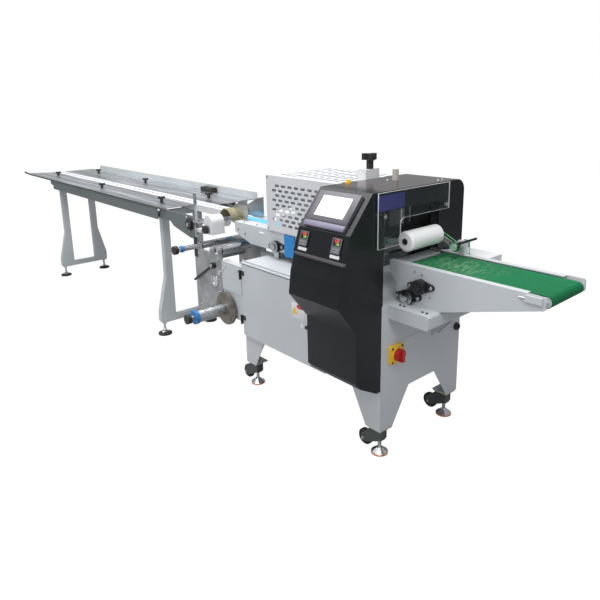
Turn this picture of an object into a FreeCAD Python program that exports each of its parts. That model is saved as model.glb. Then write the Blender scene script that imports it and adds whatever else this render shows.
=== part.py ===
import FreeCAD, Part
import math
import os

V = FreeCAD.Vector

# Horizontal flow wrapper.  Millimetres.  X runs with the product from the infeed to the discharge,
# X = 0 at the discharge face of the base.  Y = 0 is midway between the base's feet, the operator
# stands at -Y.  Z = 0 is the floor.  The whole machine is moved at the end, so that the origin of
# the saved pieces is the centre of its footprint on the floor.

# ---- clearances and stock -------------------------------------------------------------------
GAP = 0.3              # between curved faces of different bodies
RUN = 0.05             # running fit of a pin in its bore, on the radius
SWING = 8.0            # air round a moving cover
SHEET = 3.0            # folded sheet of guards and housings
PLATE = 4.0            # side plates of the conveyors
FILM_PLATE = 10.0      # carrying plates of the film unwind

# ---- base ------------------------------------------------------------------------------------
BASE_LENGTH = 963.0
BASE_END = -BASE_LENGTH # the feed end; everything upstream is placed from it
BASE_HALF = 280.0      # half the depth of the base
BASE_BOTTOM = 290.0
BASE_TOP = 690.0
BED = 8.0              # thickness of the bed plate on the base
FRONT_DEPTH = 15.0     # the cabinet front stands this far proud of the base
DOOR_RIGHT = -417.0    # seam between the door and the fixed strip
STRIP_RIGHT = -325.0   # right edge of the fixed strip
DOOR_GAP = 5.0         # clear gap round the door
FOOT_X = 37.0          # foot centre in from the end of the base
FOOT_Y = 237.0         # foot centre out from the middle
LEG_BOTTOM = 129.0
LEG_SHEET = 4.0
LEG_TOP_WIDTH = 165.0
LEG_FOOT_WIDTH = 82.0

# ---- levelling castors -----------------------------------------------------------------------
PAD_R = 37.5
PAD_H = 26.0
RING_H = 7.0
STEM_R = 8.0
WHEEL_R = 37.0
WHEEL_W = 24.0
TYRE_BEVEL = 5.0
WHEEL_BACK = 80.0      # wheel axle behind the pad's centre, towards -X
WHEEL_LIFT = 6.0       # the pads carry the machine, so the wheels hang clear of the floor
AXLE_R = 5.0
CHEEK = 4.0
FORK = 5.0             # wheel to cheek
CASTOR_PLATE = 6.0

# ---- console and hood ------------------------------------------------------------------------
HOOD_LENGTH = 290.0
HOOD_TOP = 1165.0
HOOD_FRONT = -342.0
HOOD_BACK = 262.0
HOOD_CORNER = 52.0
CONSOLE_LENGTH = 287.0
SLOPE_FOOT = (-464.0, 1018.0)      # foot of the sloping screen face, Y and Z
LEDGE = (-497.0, 921.0)            # where the control facet meets the ledge
BELLY = (-527.0, 745.0)            # foremost corner of the console
KNEE = (-430.0, 625.0)
SHIN = (-428.0, 405.0)
LEDGE_LENGTH = 262.0
LEDGE_THICK = 9.0
LEDGE_PROUD = 12.0
SCREEN_W = 228.0
SCREEN_H = 165.0
SCREEN_DEPTH = 9.0
SCREEN_BORDER = 36.0
CONTROLLER_W = 50.0
CONTROLLER_H = 62.0
TUNNEL = (-275.0, 80.0, 820.0, 1085.0)   # opening in the end of the hood: Y, Y, Z, Z
BUTTON = (-272.0, -196.0)
POST = (-183.0, 8.0)
POST_R = 14.0
POST_H = 48.0

# ---- end seal and its guard ------------------------------------------------------------------
GUARD_X = 8.0
GUARD_T = 5.0
GUARD_Y = (-322.0, 134.0)
GUARD_STEP = -188.0    # left of here the guard reaches down to its full depth
GUARD_LOW = 943.0
GUARD_SCREW_Y = (-292.0, 104.0)
GUARD_SCREW_Z = 1071.0
SERVO_COVER = (-318.0, -160.0, 1090.0, 1150.0)   # blue box behind the guard: Y, Y, Z, Z
GUARD_MID = 1050.0
JAW_X = -150.0
KNOB_REACH = 38.0      # the lobes clear the lifting cover by 5
SEAL_LINE = 868.0      # height of the product path at the jaws

# ---- cover over the forming section ----------------------------------------------------------
COVER_LENGTH = 581.0
SEAL_ROOM = 62.0       # room for the seal housing between the hood and the cover
COVER_X = (-HOOD_LENGTH - SEAL_ROOM - COVER_LENGTH, -HOOD_LENGTH - SEAL_ROOM)
COVER_Y = (-133.0, 350.0)
COVER_Z = (849.0, 1142.0)
COVER_SHEET = 2.0
SLOT = (32.0, 13.0)    # length and height of a slot
SLOT_PITCH = 50.0
SLOT_ROW = 25.0
COVER_MARGIN = 26.0

# ---- discharge conveyor ----------------------------------------------------------------------
BELT_TOP = 856.0
BELT_T = 2.0
DIS_X = (-60.0, 612.0)
DIS_Y = (-165.0, 137.0)
DIS_RISE = 6.0         # the side plates stand this far above the belt
DIS_FLANGE = 28.0
DIS_ROLLER = 20.0
BELT_EDGE = 4.0        # belt to flange
BEARING_R = 31.0
BEARING_SPAN = 52.0
SHELF_X = 200.0
SHELF_Y = (-242.0, 139.0)
SHELF_H = 58.0
SHELF_TOP = 697.0

# ---- outfeed press roller --------------------------------------------------------------------
ROLLER_AT = (5.0, 946.0)
ROLLER_Y = (-150.0, 56.0)
ROLLER_R = 42.0
ARM_Y = (62.0, 72.0)
ARM_AT = (97.0, 902.0)
ARM_BOSS = 17.0
MOTOR_BOX = (207.0, 141.0, 255.0)    # right end, near face and far face of the white box

# ---- feed conveyor ---------------------------------------------------------------------------
FEED_X = (BASE_END - 287.0, -560.0)
FEED_Y = (-125.0, 99.0)
FEED_TOP = 848.0
FEED_PLATE_H = 108.0
FEED_BELT_Y = (-46.0, 22.0)
FEED_TIP = BASE_END - 441.0     # nose of the blue belt
FEED_STANDS = (-900.0, -640.0)
FEED_R = 16.0

# ---- infeed table ----------------------------------------------------------------------------
TABLE_MID = -102.0     # centre line of the leg frames
TABLE_Y = (-297.0, 301.0)
TABLE_TOP = 880.0
TABLE_PLATE_X = (BASE_END - 2912.0, BASE_END - 895.0)
TABLE_PLATE_H = 78.0
SHELF_T = 4.0
NEAR_SHELF_X = (BASE_END - 3537.0, BASE_END - 802.0)
NEAR_TIP = BASE_END - 3651.0     # the near lip runs out to a raised point
FAR_SHELF_X = (BASE_END - 3450.0, BASE_END - 677.0)
CHANNEL_Y = (-78.0, 10.0)
CHANNEL_SLOT = 16.0
LIP_H = 50.0
LIP_X = BASE_END - 3252.0
LEG_X = (BASE_END - 2839.0, BASE_END - 951.0)
POST_OUT = 148.0
POST_IN = 98.0
FLARE_TOP = 401.0
FLARE_OUT = 207.0
FLARE_FOOT = 165.0
LEG_T = 40.0
INFEED_LEG_BOTTOM = 84.0
WEB_H = 39.0
RUBBER_R = 45.0
RUBBER_H = 18.0
BALL_R = 14.0          # ball joint of a foot, made as two short cones
BALL_BEVEL = 5.0
LOCK_NUT_R = 15.0
LOCK_NUT_H = 10.0
FOOT_OUT = 179.0
BEAM = 40.0
DRIVE_NEAR = -283.0    # outer face of the near drive plate
DRIVE_FAR = 97.0
CHAIN_R = 42.0
CHAIN_X = (BASE_END - 3367.0, BASE_END - 517.0)
CHAIN_W = 12.0
TABLE_KNOBS = ((3140.0, -149.0), (2015.0, -192.0), (1047.0, -184.0),
               (3054.0, 200.0), (2043.0, 190.0), (953.0, 121.0))    # back from the base's end, and Y
TABLE_KNOB_R = 26.0
TABLE_KNOB_H = 34.0
TABLE_BLOCK = ((1267.0, 1117.0), (248.0, 296.0))   # black block at the guide lip
CHAIN_T = 8.0

# ---- film unwind -----------------------------------------------------------------------------
FILM_X = (BASE_END - 472.0, BASE_END - 201.0)
FILM_Z = (311.0, 676.0)
FILM_Y = (-283.0, 30.0)      # near face of the near plate, far face of the far plate
REEL_AT = (BASE_END - 159.0, 396.0)
REEL_R = 34.0
REEL_TIP = -548.0
DISC_R = 92.0
DISC_T = 12.0
COLLAR_R = 38.0
IDLERS = ((BASE_END - 429.0, 706.0, 21.0), (BASE_END - 299.0, 704.0, 21.0),
          (BASE_END - 223.0, 716.0, 23.0))     # X, Z and radius of each film roller
IDLER_PIN = 8.0
SHAFT_TIP = -450.0     # the first idler's shaft runs on to a knob
LEVER_AT = (BASE_END - 275.0, 620.0)
LEVER_LENGTH = 235.0


# ---- helpers ---------------------------------------------------------------------------------
def box(x0, x1, y0, y1, z0, z1):
    return Part.makeBox(x1 - x0, y1 - y0, z1 - z0, V(x0, y0, z0))


def rod(axis, a, b, radius, start, end):
    """A round bar along one axis; a and b are its place on the other two, in order."""
    if axis == "x":
        return Part.makeCylinder(radius, end - start, V(start, a, b), V(1, 0, 0))
    if axis == "y":
        return Part.makeCylinder(radius, end - start, V(a, start, b), V(0, 1, 0))
    return Part.makeCylinder(radius, end - start, V(a, b, start), V(0, 0, 1))


def prism(plane, points, start, end):
    """An outline in the XZ, YZ or XY plane, drawn out along the third axis."""
    place = {"xz": lambda p: V(p[0], start, p[1]), "yz": lambda p: V(start, p[0], p[1]),
             "xy": lambda p: V(p[0], p[1], start)}[plane]
    along = {"xz": V(0, 1, 0), "yz": V(1, 0, 0), "xy": V(0, 0, 1)}[plane]
    corners = [place(p) for p in points]
    face = Part.Face(Part.makePolygon(corners + corners[:1]))
    return face.extrude(along * (end - start))


def loop(x0, x1, z, radius, thick, y0, y1):
    """A belt or chain round two rollers at one height."""
    def stadium(r):
        top, low = V(0, y0, z + r), V(0, y0, z - r)
        a, b, c, d = V(x0, 0, 0) + top, V(x1, 0, 0) + top, V(x1, 0, 0) + low, V(x0, 0, 0) + low
        edges = [Part.makeLine(a, b), Part.Arc(b, V(x1 + r, y0, z), c).toShape(),
                 Part.makeLine(c, d), Part.Arc(d, V(x0 - r, y0, z), a).toShape()]
        return Part.Face(Part.Wire(edges)).extrude(V(0, y1 - y0, 0))
    return stadium(radius + thick).cut(stadium(radius))


def fuse(shapes):
    whole = shapes[0].multiFuse(shapes[1:]) if len(shapes) > 1 else shapes[0]
    return whole.removeSplitter()


def together(shapes):
    return Part.makeCompound(shapes)


def turn(shape, centre, axis, degrees):
    moved = shape.copy()
    moved.rotate(centre, axis, degrees)
    return moved


def round_edges(shape, radius, wanted):
    edges = [e for e in shape.Edges if wanted(e)]
    return shape.makeFillet(radius, edges) if edges else shape


def runs_along(edge, axis):
    if not isinstance(edge.Curve, (Part.Line, Part.LineSegment)):
        return False
    return abs(edge.tangentAt(edge.FirstParameter).dot(axis)) > 0.999


def lobe_knob(x, y, z, reach, height):
    """Three-lobed clamping knob on a short stem."""
    head = height * 0.42
    stem = rod("z", x, y, reach * 0.42, z, z + height - head)
    lobes = [rod("z", x, y, reach * 0.5, z + height - head, z + height)]
    for k in range(3):
        angle = math.radians(90 + 120 * k)
        lobes.append(rod("z", x + reach * 0.62 * math.cos(angle), y + reach * 0.62 * math.sin(angle),
                         reach * 0.38, z + height - head, z + height))
    return fuse([stem] + lobes)


def hexagon(x, y, reach):
    """Corners of a nut, seen along its axis."""
    angles = [math.radians(60 * k) for k in range(6)]
    return [(x + reach * math.cos(a), y + reach * math.sin(a)) for a in angles]


def flange_bearing(x, y, z):
    """Two-bolt bearing unit with its shaft end, on a face that looks to -Y."""
    base = 9.0
    ears = [rod("y", x + s * BEARING_SPAN, z, 13.0, y - base, y) for s in (-1, 1)]
    waist = prism("xz", [(x - BEARING_SPAN, z - 13), (x, z - BEARING_R), (x + BEARING_SPAN, z - 13),
                         (x + BEARING_SPAN, z + 13), (x, z + BEARING_R), (x - BEARING_SPAN, z + 13)],
                  y - base, y)
    barrel = rod("y", x, z, BEARING_R, y - 24, y)
    ring = rod("y", x, z, 22, y - 26, y - 20).cut(rod("y", x, z, 18, y - 27, y - 22))
    shaft = rod("y", x, z, 15.0, y - 29, y)
    return turn(fuse([waist, barrel.cut(rod("y", x, z, 22, y - 26, y - 20)), ring, shaft] + ears),
                V(x, y, z), V(0, 1, 0), -6)


parts = {}
axes = {}
bearings = []
knobs = []
fittings = []


# ---- infeed table ----------------------------------------------------------------------------
def infeed_leg(x):
    """Leg frame of two flared posts, a web between their feet and the beam under the table."""
    top = TABLE_TOP - SHELF_T - TABLE_PLATE_H
    web = INFEED_LEG_BOTTOM + WEB_H
    side = [(POST_OUT, top), (POST_OUT, FLARE_TOP), (FLARE_OUT, FLARE_FOOT),
            (FLARE_OUT, INFEED_LEG_BOTTOM + 16), (FLARE_OUT - 10, INFEED_LEG_BOTTOM)]
    right = [(TABLE_MID + y, z) for y, z in side]
    left = [(TABLE_MID - y, z) for y, z in reversed(side)]
    outline = right + left + [(TABLE_MID - POST_IN, top), (TABLE_MID - POST_IN, web),
                              (TABLE_MID + POST_IN, web), (TABLE_MID + POST_IN, top)]
    frame = prism("yz", outline, x - LEG_T / 2, x + LEG_T / 2)
    beam = box(x - LEG_T / 2, x + LEG_T / 2, TABLE_Y[0] + PLATE, TABLE_Y[1] - PLATE, top, top + BEAM)
    return fuse([frame, beam])


def infeed_feet():
    """Rubber pads with a ball stem and a lock nut under the leg frames."""
    feet = []
    for x in LEG_X:
        for side in (-1, 1):
            y = TABLE_MID + side * FOOT_OUT
            foot = rod("z", x, y, RUBBER_R, 0, RUBBER_H * 0.55)
            crown = Part.makeCone(RUBBER_R, 16, RUBBER_H * 0.45 + 6, V(x, y, RUBBER_H * 0.55))
            bottom = RUBBER_H + 6
            ball = Part.makeCone(BALL_R - BALL_BEVEL, BALL_R, BALL_BEVEL, V(x, y, bottom))
            shoulder = Part.makeCone(BALL_R, STEM_R, BALL_R, V(x, y, bottom + BALL_BEVEL))
            neck = rod("z", x, y, STEM_R, bottom, INFEED_LEG_BOTTOM)
            nut = prism("xy", hexagon(x, y, LOCK_NUT_R), INFEED_LEG_BOTTOM - LOCK_NUT_H, INFEED_LEG_BOTTOM)
            feet.append(fuse([foot, crown, ball, shoulder, neck, nut]))
    return together(feet)


def infeed_side_plate(y0, y1):
    top = TABLE_TOP - SHELF_T
    low = top - TABLE_PLATE_H
    x0, x1 = TABLE_PLATE_X
    return prism("xz", [(x0, top), (x0, low + 40), (x0 + 25, low + 34), (x0 + 60, low + 34),
                        (x0 + 60, low), (x1, low), (x1, top)], y0, y1)


def infeed_table():
    top = TABLE_TOP - SHELF_T
    low = top - TABLE_PLATE_H
    near_y, far_y = TABLE_Y
    parts["infeed_side_plates"] = together([infeed_side_plate(near_y, near_y + PLATE),
                                            infeed_side_plate(far_y - PLATE, far_y)])
    for name, x in zip(("infeed_leg_left", "infeed_leg_right"), LEG_X):
        parts[name] = infeed_leg(x)
    parts["infeed_feet"] = infeed_feet()

    # the near shelf: a plate with its near edge folded down, the fold running out to a point
    x0, x1 = NEAR_SHELF_X
    shelf = prism("xy", [(NEAR_TIP + 40, near_y), (x1, near_y), (x1, CHANNEL_Y[0]), (x0 + 95, CHANNEL_Y[0]),
                         (x0, near_y + 60)], top, TABLE_TOP)
    fold = prism("xz", [(NEAR_TIP, TABLE_TOP + 15), (NEAR_TIP + 200, TABLE_TOP), (x1, TABLE_TOP),
                        (x1, top - 8), (NEAR_TIP + 160, top - 8), (NEAR_TIP, TABLE_TOP - 5)],
                 near_y - SHEET, near_y)
    near_shelf = fuse([shelf, fold])

    # the far shelf with its raised guide lip
    x0, x1 = FAR_SHELF_X
    plate = box(x0, x1, CHANNEL_Y[1] + 1, far_y, top, TABLE_TOP)
    lip = prism("xz", [(LIP_X, TABLE_TOP), (LIP_X, TABLE_TOP + LIP_H - 10), (LIP_X + 12, TABLE_TOP + LIP_H),
                       (x1 + 40, TABLE_TOP + LIP_H), (x1 + 40, TABLE_TOP)], far_y - SHEET, far_y)
    foot = prism("xz", [(x1, TABLE_TOP), (x1 + 40, TABLE_TOP), (x1 + 40, top), (x1, top)],
                 far_y - SHEET, far_y)
    parts["infeed_shelves"] = together([near_shelf, fuse([plate, lip, foot])])

    # the channel between them, with the slot that the chain runs under
    middle = sum(CHANNEL_Y) / 2
    x0, x1 = CHAIN_X[0] - CHAIN_R - 30, CHAIN_X[1] + 20
    halves = []
    for a, b in ((CHANNEL_Y[0] + 1, middle - CHANNEL_SLOT / 2), (middle + CHANNEL_SLOT / 2, CHANNEL_Y[1])):
        wall = a if a < middle else b
        cheek = box(x0, x1, min(wall, wall + (SHEET if a < middle else -SHEET)),
                    max(wall, wall + (SHEET if a < middle else -SHEET)), low + BEAM, top)
        hanger = box(CHAIN_X[0] - 20, CHAIN_X[0] + 20, cheek.BoundBox.YMin, cheek.BoundBox.YMax,
                     low + 8, low + BEAM)
        halves.append(fuse([box(x0, x1, a, b, top, TABLE_TOP), cheek, hanger]))
    parts["infeed_channel"] = together(halves)

    axis_z = top - 6 - CHAIN_R - CHAIN_T
    chain_y = (middle - CHAIN_W / 2, middle + CHAIN_W / 2)
    chain = loop(CHAIN_X[0], CHAIN_X[1], axis_z, CHAIN_R, CHAIN_T, *chain_y)
    wheels = []
    for x in CHAIN_X:
        wheel = rod("y", x, axis_z, CHAIN_R - GAP, chain_y[0], chain_y[1])
        hub = rod("y", x, axis_z, 22, chain_y[0] - 8, chain_y[1] + 8)
        wheels.append(fuse([wheel, hub]))
    shaft = rod("y", CHAIN_X[1], axis_z, 12, DRIVE_NEAR - 22, DRIVE_FAR + 12)
    stub = rod("y", CHAIN_X[0], axis_z, 10, CHANNEL_Y[0] + 1 + SHEET, CHANNEL_Y[1] - SHEET)
    parts["infeed_chain"] = together([chain, fuse([wheels[0], stub]), fuse([wheels[1], shaft])])
    return axis_z


def infeed_drive(axis_z):
    """Gusset plates that carry the drive shaft at the table's discharge end."""
    top = TABLE_TOP - SHELF_T
    x = CHAIN_X[1]
    hole = rod("y", x, axis_z, 12 + RUN, DRIVE_NEAR - 1, DRIVE_FAR + 1)
    outline = [(TABLE_PLATE_X[1] + 2, top - 8), (x + 52, top - 8), (x + 52, 738), (x - 4, 738),
               (x - 200, 779), (x - 240, 806), (TABLE_PLATE_X[1] + 2, 806)]
    near = prism("xz", outline, DRIVE_NEAR, DRIVE_NEAR + PLATE).cut(hole)
    far = prism("xz", outline, DRIVE_FAR - PLATE, DRIVE_FAR).cut(hole)
    # a tie runs from each gusset to the beam under the table
    ties = []
    for y in (DRIVE_NEAR + PLATE, DRIVE_FAR - PLATE - 30):
        ties.append(box(LEG_X[1] + BEAM / 2, x - 60, y, y + 30, 812, 832))
    guide = box(x + 52, x + 64, DRIVE_NEAR, DRIVE_NEAR + 14, 722, 1007)
    parts["infeed_drive_plates"] = together([fuse([near, ties[0], guide]), fuse([far, ties[1]])])

    hub = rod("y", x, axis_z, 30, DRIVE_NEAR - 16, DRIVE_NEAR)
    rim = rod("y", x, axis_z, 36, DRIVE_NEAR - 6, DRIVE_NEAR)
    bore = rod("y", x, axis_z, 12 + RUN, DRIVE_NEAR - 20, DRIVE_NEAR + 1)
    bearings.append(fuse([hub, rim]).cut(bore))


def transfer_parts():
    """White cover, olive chute and grey guide plates between the two infeed conveyors."""
    x = CHAIN_X[1] + 72
    drum = rod("y", x + 44, 836, 44, -236, -150)
    leg = box(x, x + 88, -236, -150, 770, 836)
    post_x = CHAIN_X[1] + 52
    bracket = box(post_x, x + 16, DRIVE_NEAR + 14, -236, 780, 800)
    cover_piece = fuse([drum, leg, bracket])
    outer = [(x - 40, 868), (x + 150, 960), (x + 210, 974), (x + 210, FEED_TOP), (x - 40, FEED_TOP)]
    plates = [prism("xz", outer, y, y + SHEET) for y in (FEED_BELT_Y[0] - 24, FEED_BELT_Y[1] + 24)]
    feet = [box(x + 120, x + 210, y - 6, y + 14, FEED_TOP, FEED_TOP + 6)
            for y in (FEED_BELT_Y[0] - 24, FEED_BELT_Y[1] + 16)]
    y = FEED_BELT_Y[0] - 24
    chute = rod("y", x + 60, 846, 62, y - 52, y)
    hollow = rod("y", x + 60, 846, 58, y - 60, y + 1)
    upper = box(x - 20, x + 140, y - 60, y + 2, 846, 920)
    chute = chute.cut(hollow).common(upper)
    parts["transfer_cover"] = cover_piece
    parts["transfer_guides"] = together([fuse([plates[0], feet[0], chute]), fuse([plates[1], feet[1]])])
    knobs.append(fuse([rod("y", x + 44, 800, 24, -262, -244), rod("y", x + 44, 800, 8, -244, -236)]))


# ---- feed conveyor ---------------------------------------------------------------------------
def feed_conveyor():
    x0, x1 = FEED_X
    y0, y1 = FEED_Y
    top = FEED_TOP - BELT_T - GAP
    low = FEED_TOP - FEED_PLATE_H
    outline = [(x0, FEED_TOP), (x1, FEED_TOP), (x1, low), (x0 + 150, low), (x0, FEED_TOP - 60)]
    slot = box(x0 + 225, x0 + 275, y0 - 1, y0 + PLATE + 1, FEED_TOP - 32, FEED_TOP - 24)
    near = prism("xz", outline, y0, y0 + PLATE).cut(slot)
    far = prism("xz", outline, y1 - PLATE, y1)
    decks = [box(x0, x1, y0 + PLATE, FEED_BELT_Y[0] - 2, FEED_TOP - SHEET, FEED_TOP),
             box(x0, x1, FEED_BELT_Y[1] + 2, y1 - PLATE, FEED_TOP - SHEET, FEED_TOP)]
    parts["feed_sides"] = together([fuse([near, decks[0]]), fuse([far, decks[1]])])
    axis_z = top - FEED_R
    nose, tail = FEED_TIP + FEED_R + BELT_T, x1 - FEED_R - 12
    parts["feed_belt"] = loop(nose, tail, axis_z, FEED_R + GAP, BELT_T, *FEED_BELT_Y)

    # inside the belt: its two rollers, the bed between them, and the carriers at both sides
    outer_y = FEED_BELT_Y[0] - 10, FEED_BELT_Y[1] + 10
    rollers = [rod("y", x, axis_z, FEED_R, *FEED_BELT_Y) for x in (nose, tail)]
    pins = [rod("y", x, axis_z, 6, outer_y[0] + 1, outer_y[1] - 1) for x in (nose, tail)]
    bed = box(nose + FEED_R + 6, tail - FEED_R - 6, outer_y[0] + 2, outer_y[1] - 2, top - 12, top - 4)
    arms = [box(nose - 8, tail + 8, a, b, axis_z - 12, FEED_TOP - SHEET)
            for a, b in ((outer_y[0], FEED_BELT_Y[0] - 2), (FEED_BELT_Y[1] + 2, outer_y[1]))]
    inner = fuse(rollers + pins + [bed] + arms)

    # two stands on the bed plate of the base
    stands = []
    for x in FEED_STANDS:
        cross = box(x, x + 40, y0 + PLATE, y1 - PLATE, low + 4, low + 24)
        legs = [box(x, x + 40, y, y + 12, BASE_TOP + BED, low + 4) for y in (y0 + PLATE, y1 - PLATE - 12)]
        stands.append(fuse([cross] + legs))
    front = box(x0 + 170, x0 + 200, y0 + PLATE, y1 - PLATE, low + 4, low + 24)
    parts["feed_frame"] = together([inner, front] + stands)
    bearings.append(flange_bearing(x0 + 385, y0, FEED_TOP - 79))
    panel = box(-795, -715, y0 - 8, y0, low - 12, FEED_TOP - 4)
    wheel = rod("y", -645, 790, 44, y0 - 26, y0 - 10)
    axle = rod("y", -645, 790, 10, y0 - 10, y0)
    tyre = rod("y", -645, 790, 52, y0 - 25, y0 - 11)
    parts["blue_panel"] = panel
    parts["film_feed_wheel"] = fuse([wheel, tyre, axle])


# ---- forming section under the cover ---------------------------------------------------------
def forming_section():
    z = FEED_TOP
    walls = [box(-920, -600, y, y + SHEET, z, z + 62) for y in (FEED_BELT_Y[0] - 14, FEED_BELT_Y[1] + 11)]
    roof = box(-920, -600, FEED_BELT_Y[0] - 14, FEED_BELT_Y[1] + 14, z + 62, z + 62 + SHEET)
    former = fuse(walls + [roof])
    top = SEAL_LINE - 18
    body = box(-552, -372, -84, 60, BASE_TOP + BED, top - 24)
    rails = [box(-552, -300, y, y + 18, top - 24, top) for y in (-78, 36)]
    wheels = [rod("z", x, y, 17, top - 24, top + 8) for x in (-520, -450, -380) for y in (-40, 6)]
    parts["forming_unit"] = together([former, fuse([body] + rails + wheels)])


# ---- perforated cover ------------------------------------------------------------------------
def slot_cutter(columns, rows, make):
    """Staggered slots: every other row is moved along by half a pitch."""
    cutters = []
    for r in range(rows):
        shift = SLOT_PITCH / 2 if r % 2 == 0 else 0.0
        count = columns - 1 if r % 2 == 0 else columns
        for c in range(count):
            cutters.append(make(c * SLOT_PITCH + shift, r * SLOT_ROW))
    return Part.makeCompound(cutters)


def cover():
    x0, x1 = COVER_X
    y0, y1 = COVER_Y
    z0, z1 = COVER_Z
    t = COVER_SHEET
    columns = int((x1 - x0 - 2 * COVER_MARGIN) // SLOT_PITCH)
    first_x = (x0 + x1 - (columns - 1) * SLOT_PITCH - SLOT[0]) / 2
    rows = int((z1 - z0 - 2 * COVER_MARGIN - 20) // SLOT_ROW) + 1
    front = box(x0, x1, y0, y0 + t, z0, z1)
    holes = slot_cutter(columns, rows, lambda dx, dz: box(
        first_x + dx, first_x + dx + SLOT[0], y0 - 1, y0 + t + 1,
        z1 - 44 - dz - SLOT[1], z1 - 44 - dz))
    parts["cover_front"] = front.cut(holes)
    # the top has long slots across the machine
    top = box(x0, x1, y0 + t, y1, z1 - t, z1)
    strips = [box(first_x + 10 + c * SLOT_PITCH, first_x + 10 + c * SLOT_PITCH + SLOT[1] + 5,
                  y0 + 40 + r * 98.0, y0 + 120 + r * 98.0, z1 - t - 1, z1 + 1)
              for c in range(columns) for r in range(4)]
    parts["cover_top"] = top.cut(Part.makeCompound(strips))
    mouth = box(x0 - 1, x0 + t + 1, FEED_BELT_Y[0] - 40, FEED_BELT_Y[1] + 40, z0 - 1, z0 + 96)
    relief = box(x0 - 1, x0 + t + 1, FEED_Y[0] - SWING, FEED_Y[1] + SWING, z0 - 1, z0 + 5)
    left = box(x0, x0 + t, y0 + t, y1 - t, z0, z1 - t).cut(mouth).cut(relief)
    mouth = box(x1 - t - 1, x1 + 1, FEED_BELT_Y[0] - 40, FEED_BELT_Y[1] + 40, z0 - 1, z0 + 96)
    right = box(x1 - t, x1, y0 + t, y1 - t, z0, z1 - t).cut(mouth)
    back = box(x0, x1, y1 - t, y1, z0, z1 - t)
    # hinge along the foot of the back
    pin_y, pin_z = y1 + 12, z0 - 8
    axes["cover_lift"] = (0, pin_y, pin_z)
    knuckles, brackets = [], []
    for x in (x0 + 70, x1 - 130):
        bore = rod("x", pin_y, pin_z, 3 + RUN, x - 1, x + 61)
        barrel = rod("x", pin_y, pin_z, 7, x, x + 60)
        leaf = box(x, x + 60, y1, y1 + 5, pin_z - 3, z0 + 40)
        web = box(x, x + 60, y1, pin_y, pin_z - 3, pin_z + 3)
        knuckles.append(fuse([barrel, leaf, web]).cut(bore))
        pin = rod("x", pin_y, pin_z, 3, x - 14, x + 74)
        foot = BASE_TOP + 60
        ears = []
        for ear_x in (x - 14, x + 62):
            ears.append(box(ear_x, ear_x + 12, pin_y - 7, pin_y + 7, foot, pin_z))
            ears.append(rod("x", pin_y, pin_z, 7, ear_x, ear_x + 12))
        arm = box(x - 14, x + 74, BASE_HALF - 30, pin_y + 7, foot, foot + 14)
        post = box(x - 14, x + 74, BASE_HALF - 30, BASE_HALF - 16, BASE_TOP + BED, foot)
        brackets.append(fuse([pin, arm, post] + ears))
    parts["cover_walls"] = fuse([left, right, back] + knuckles)
    return brackets


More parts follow.
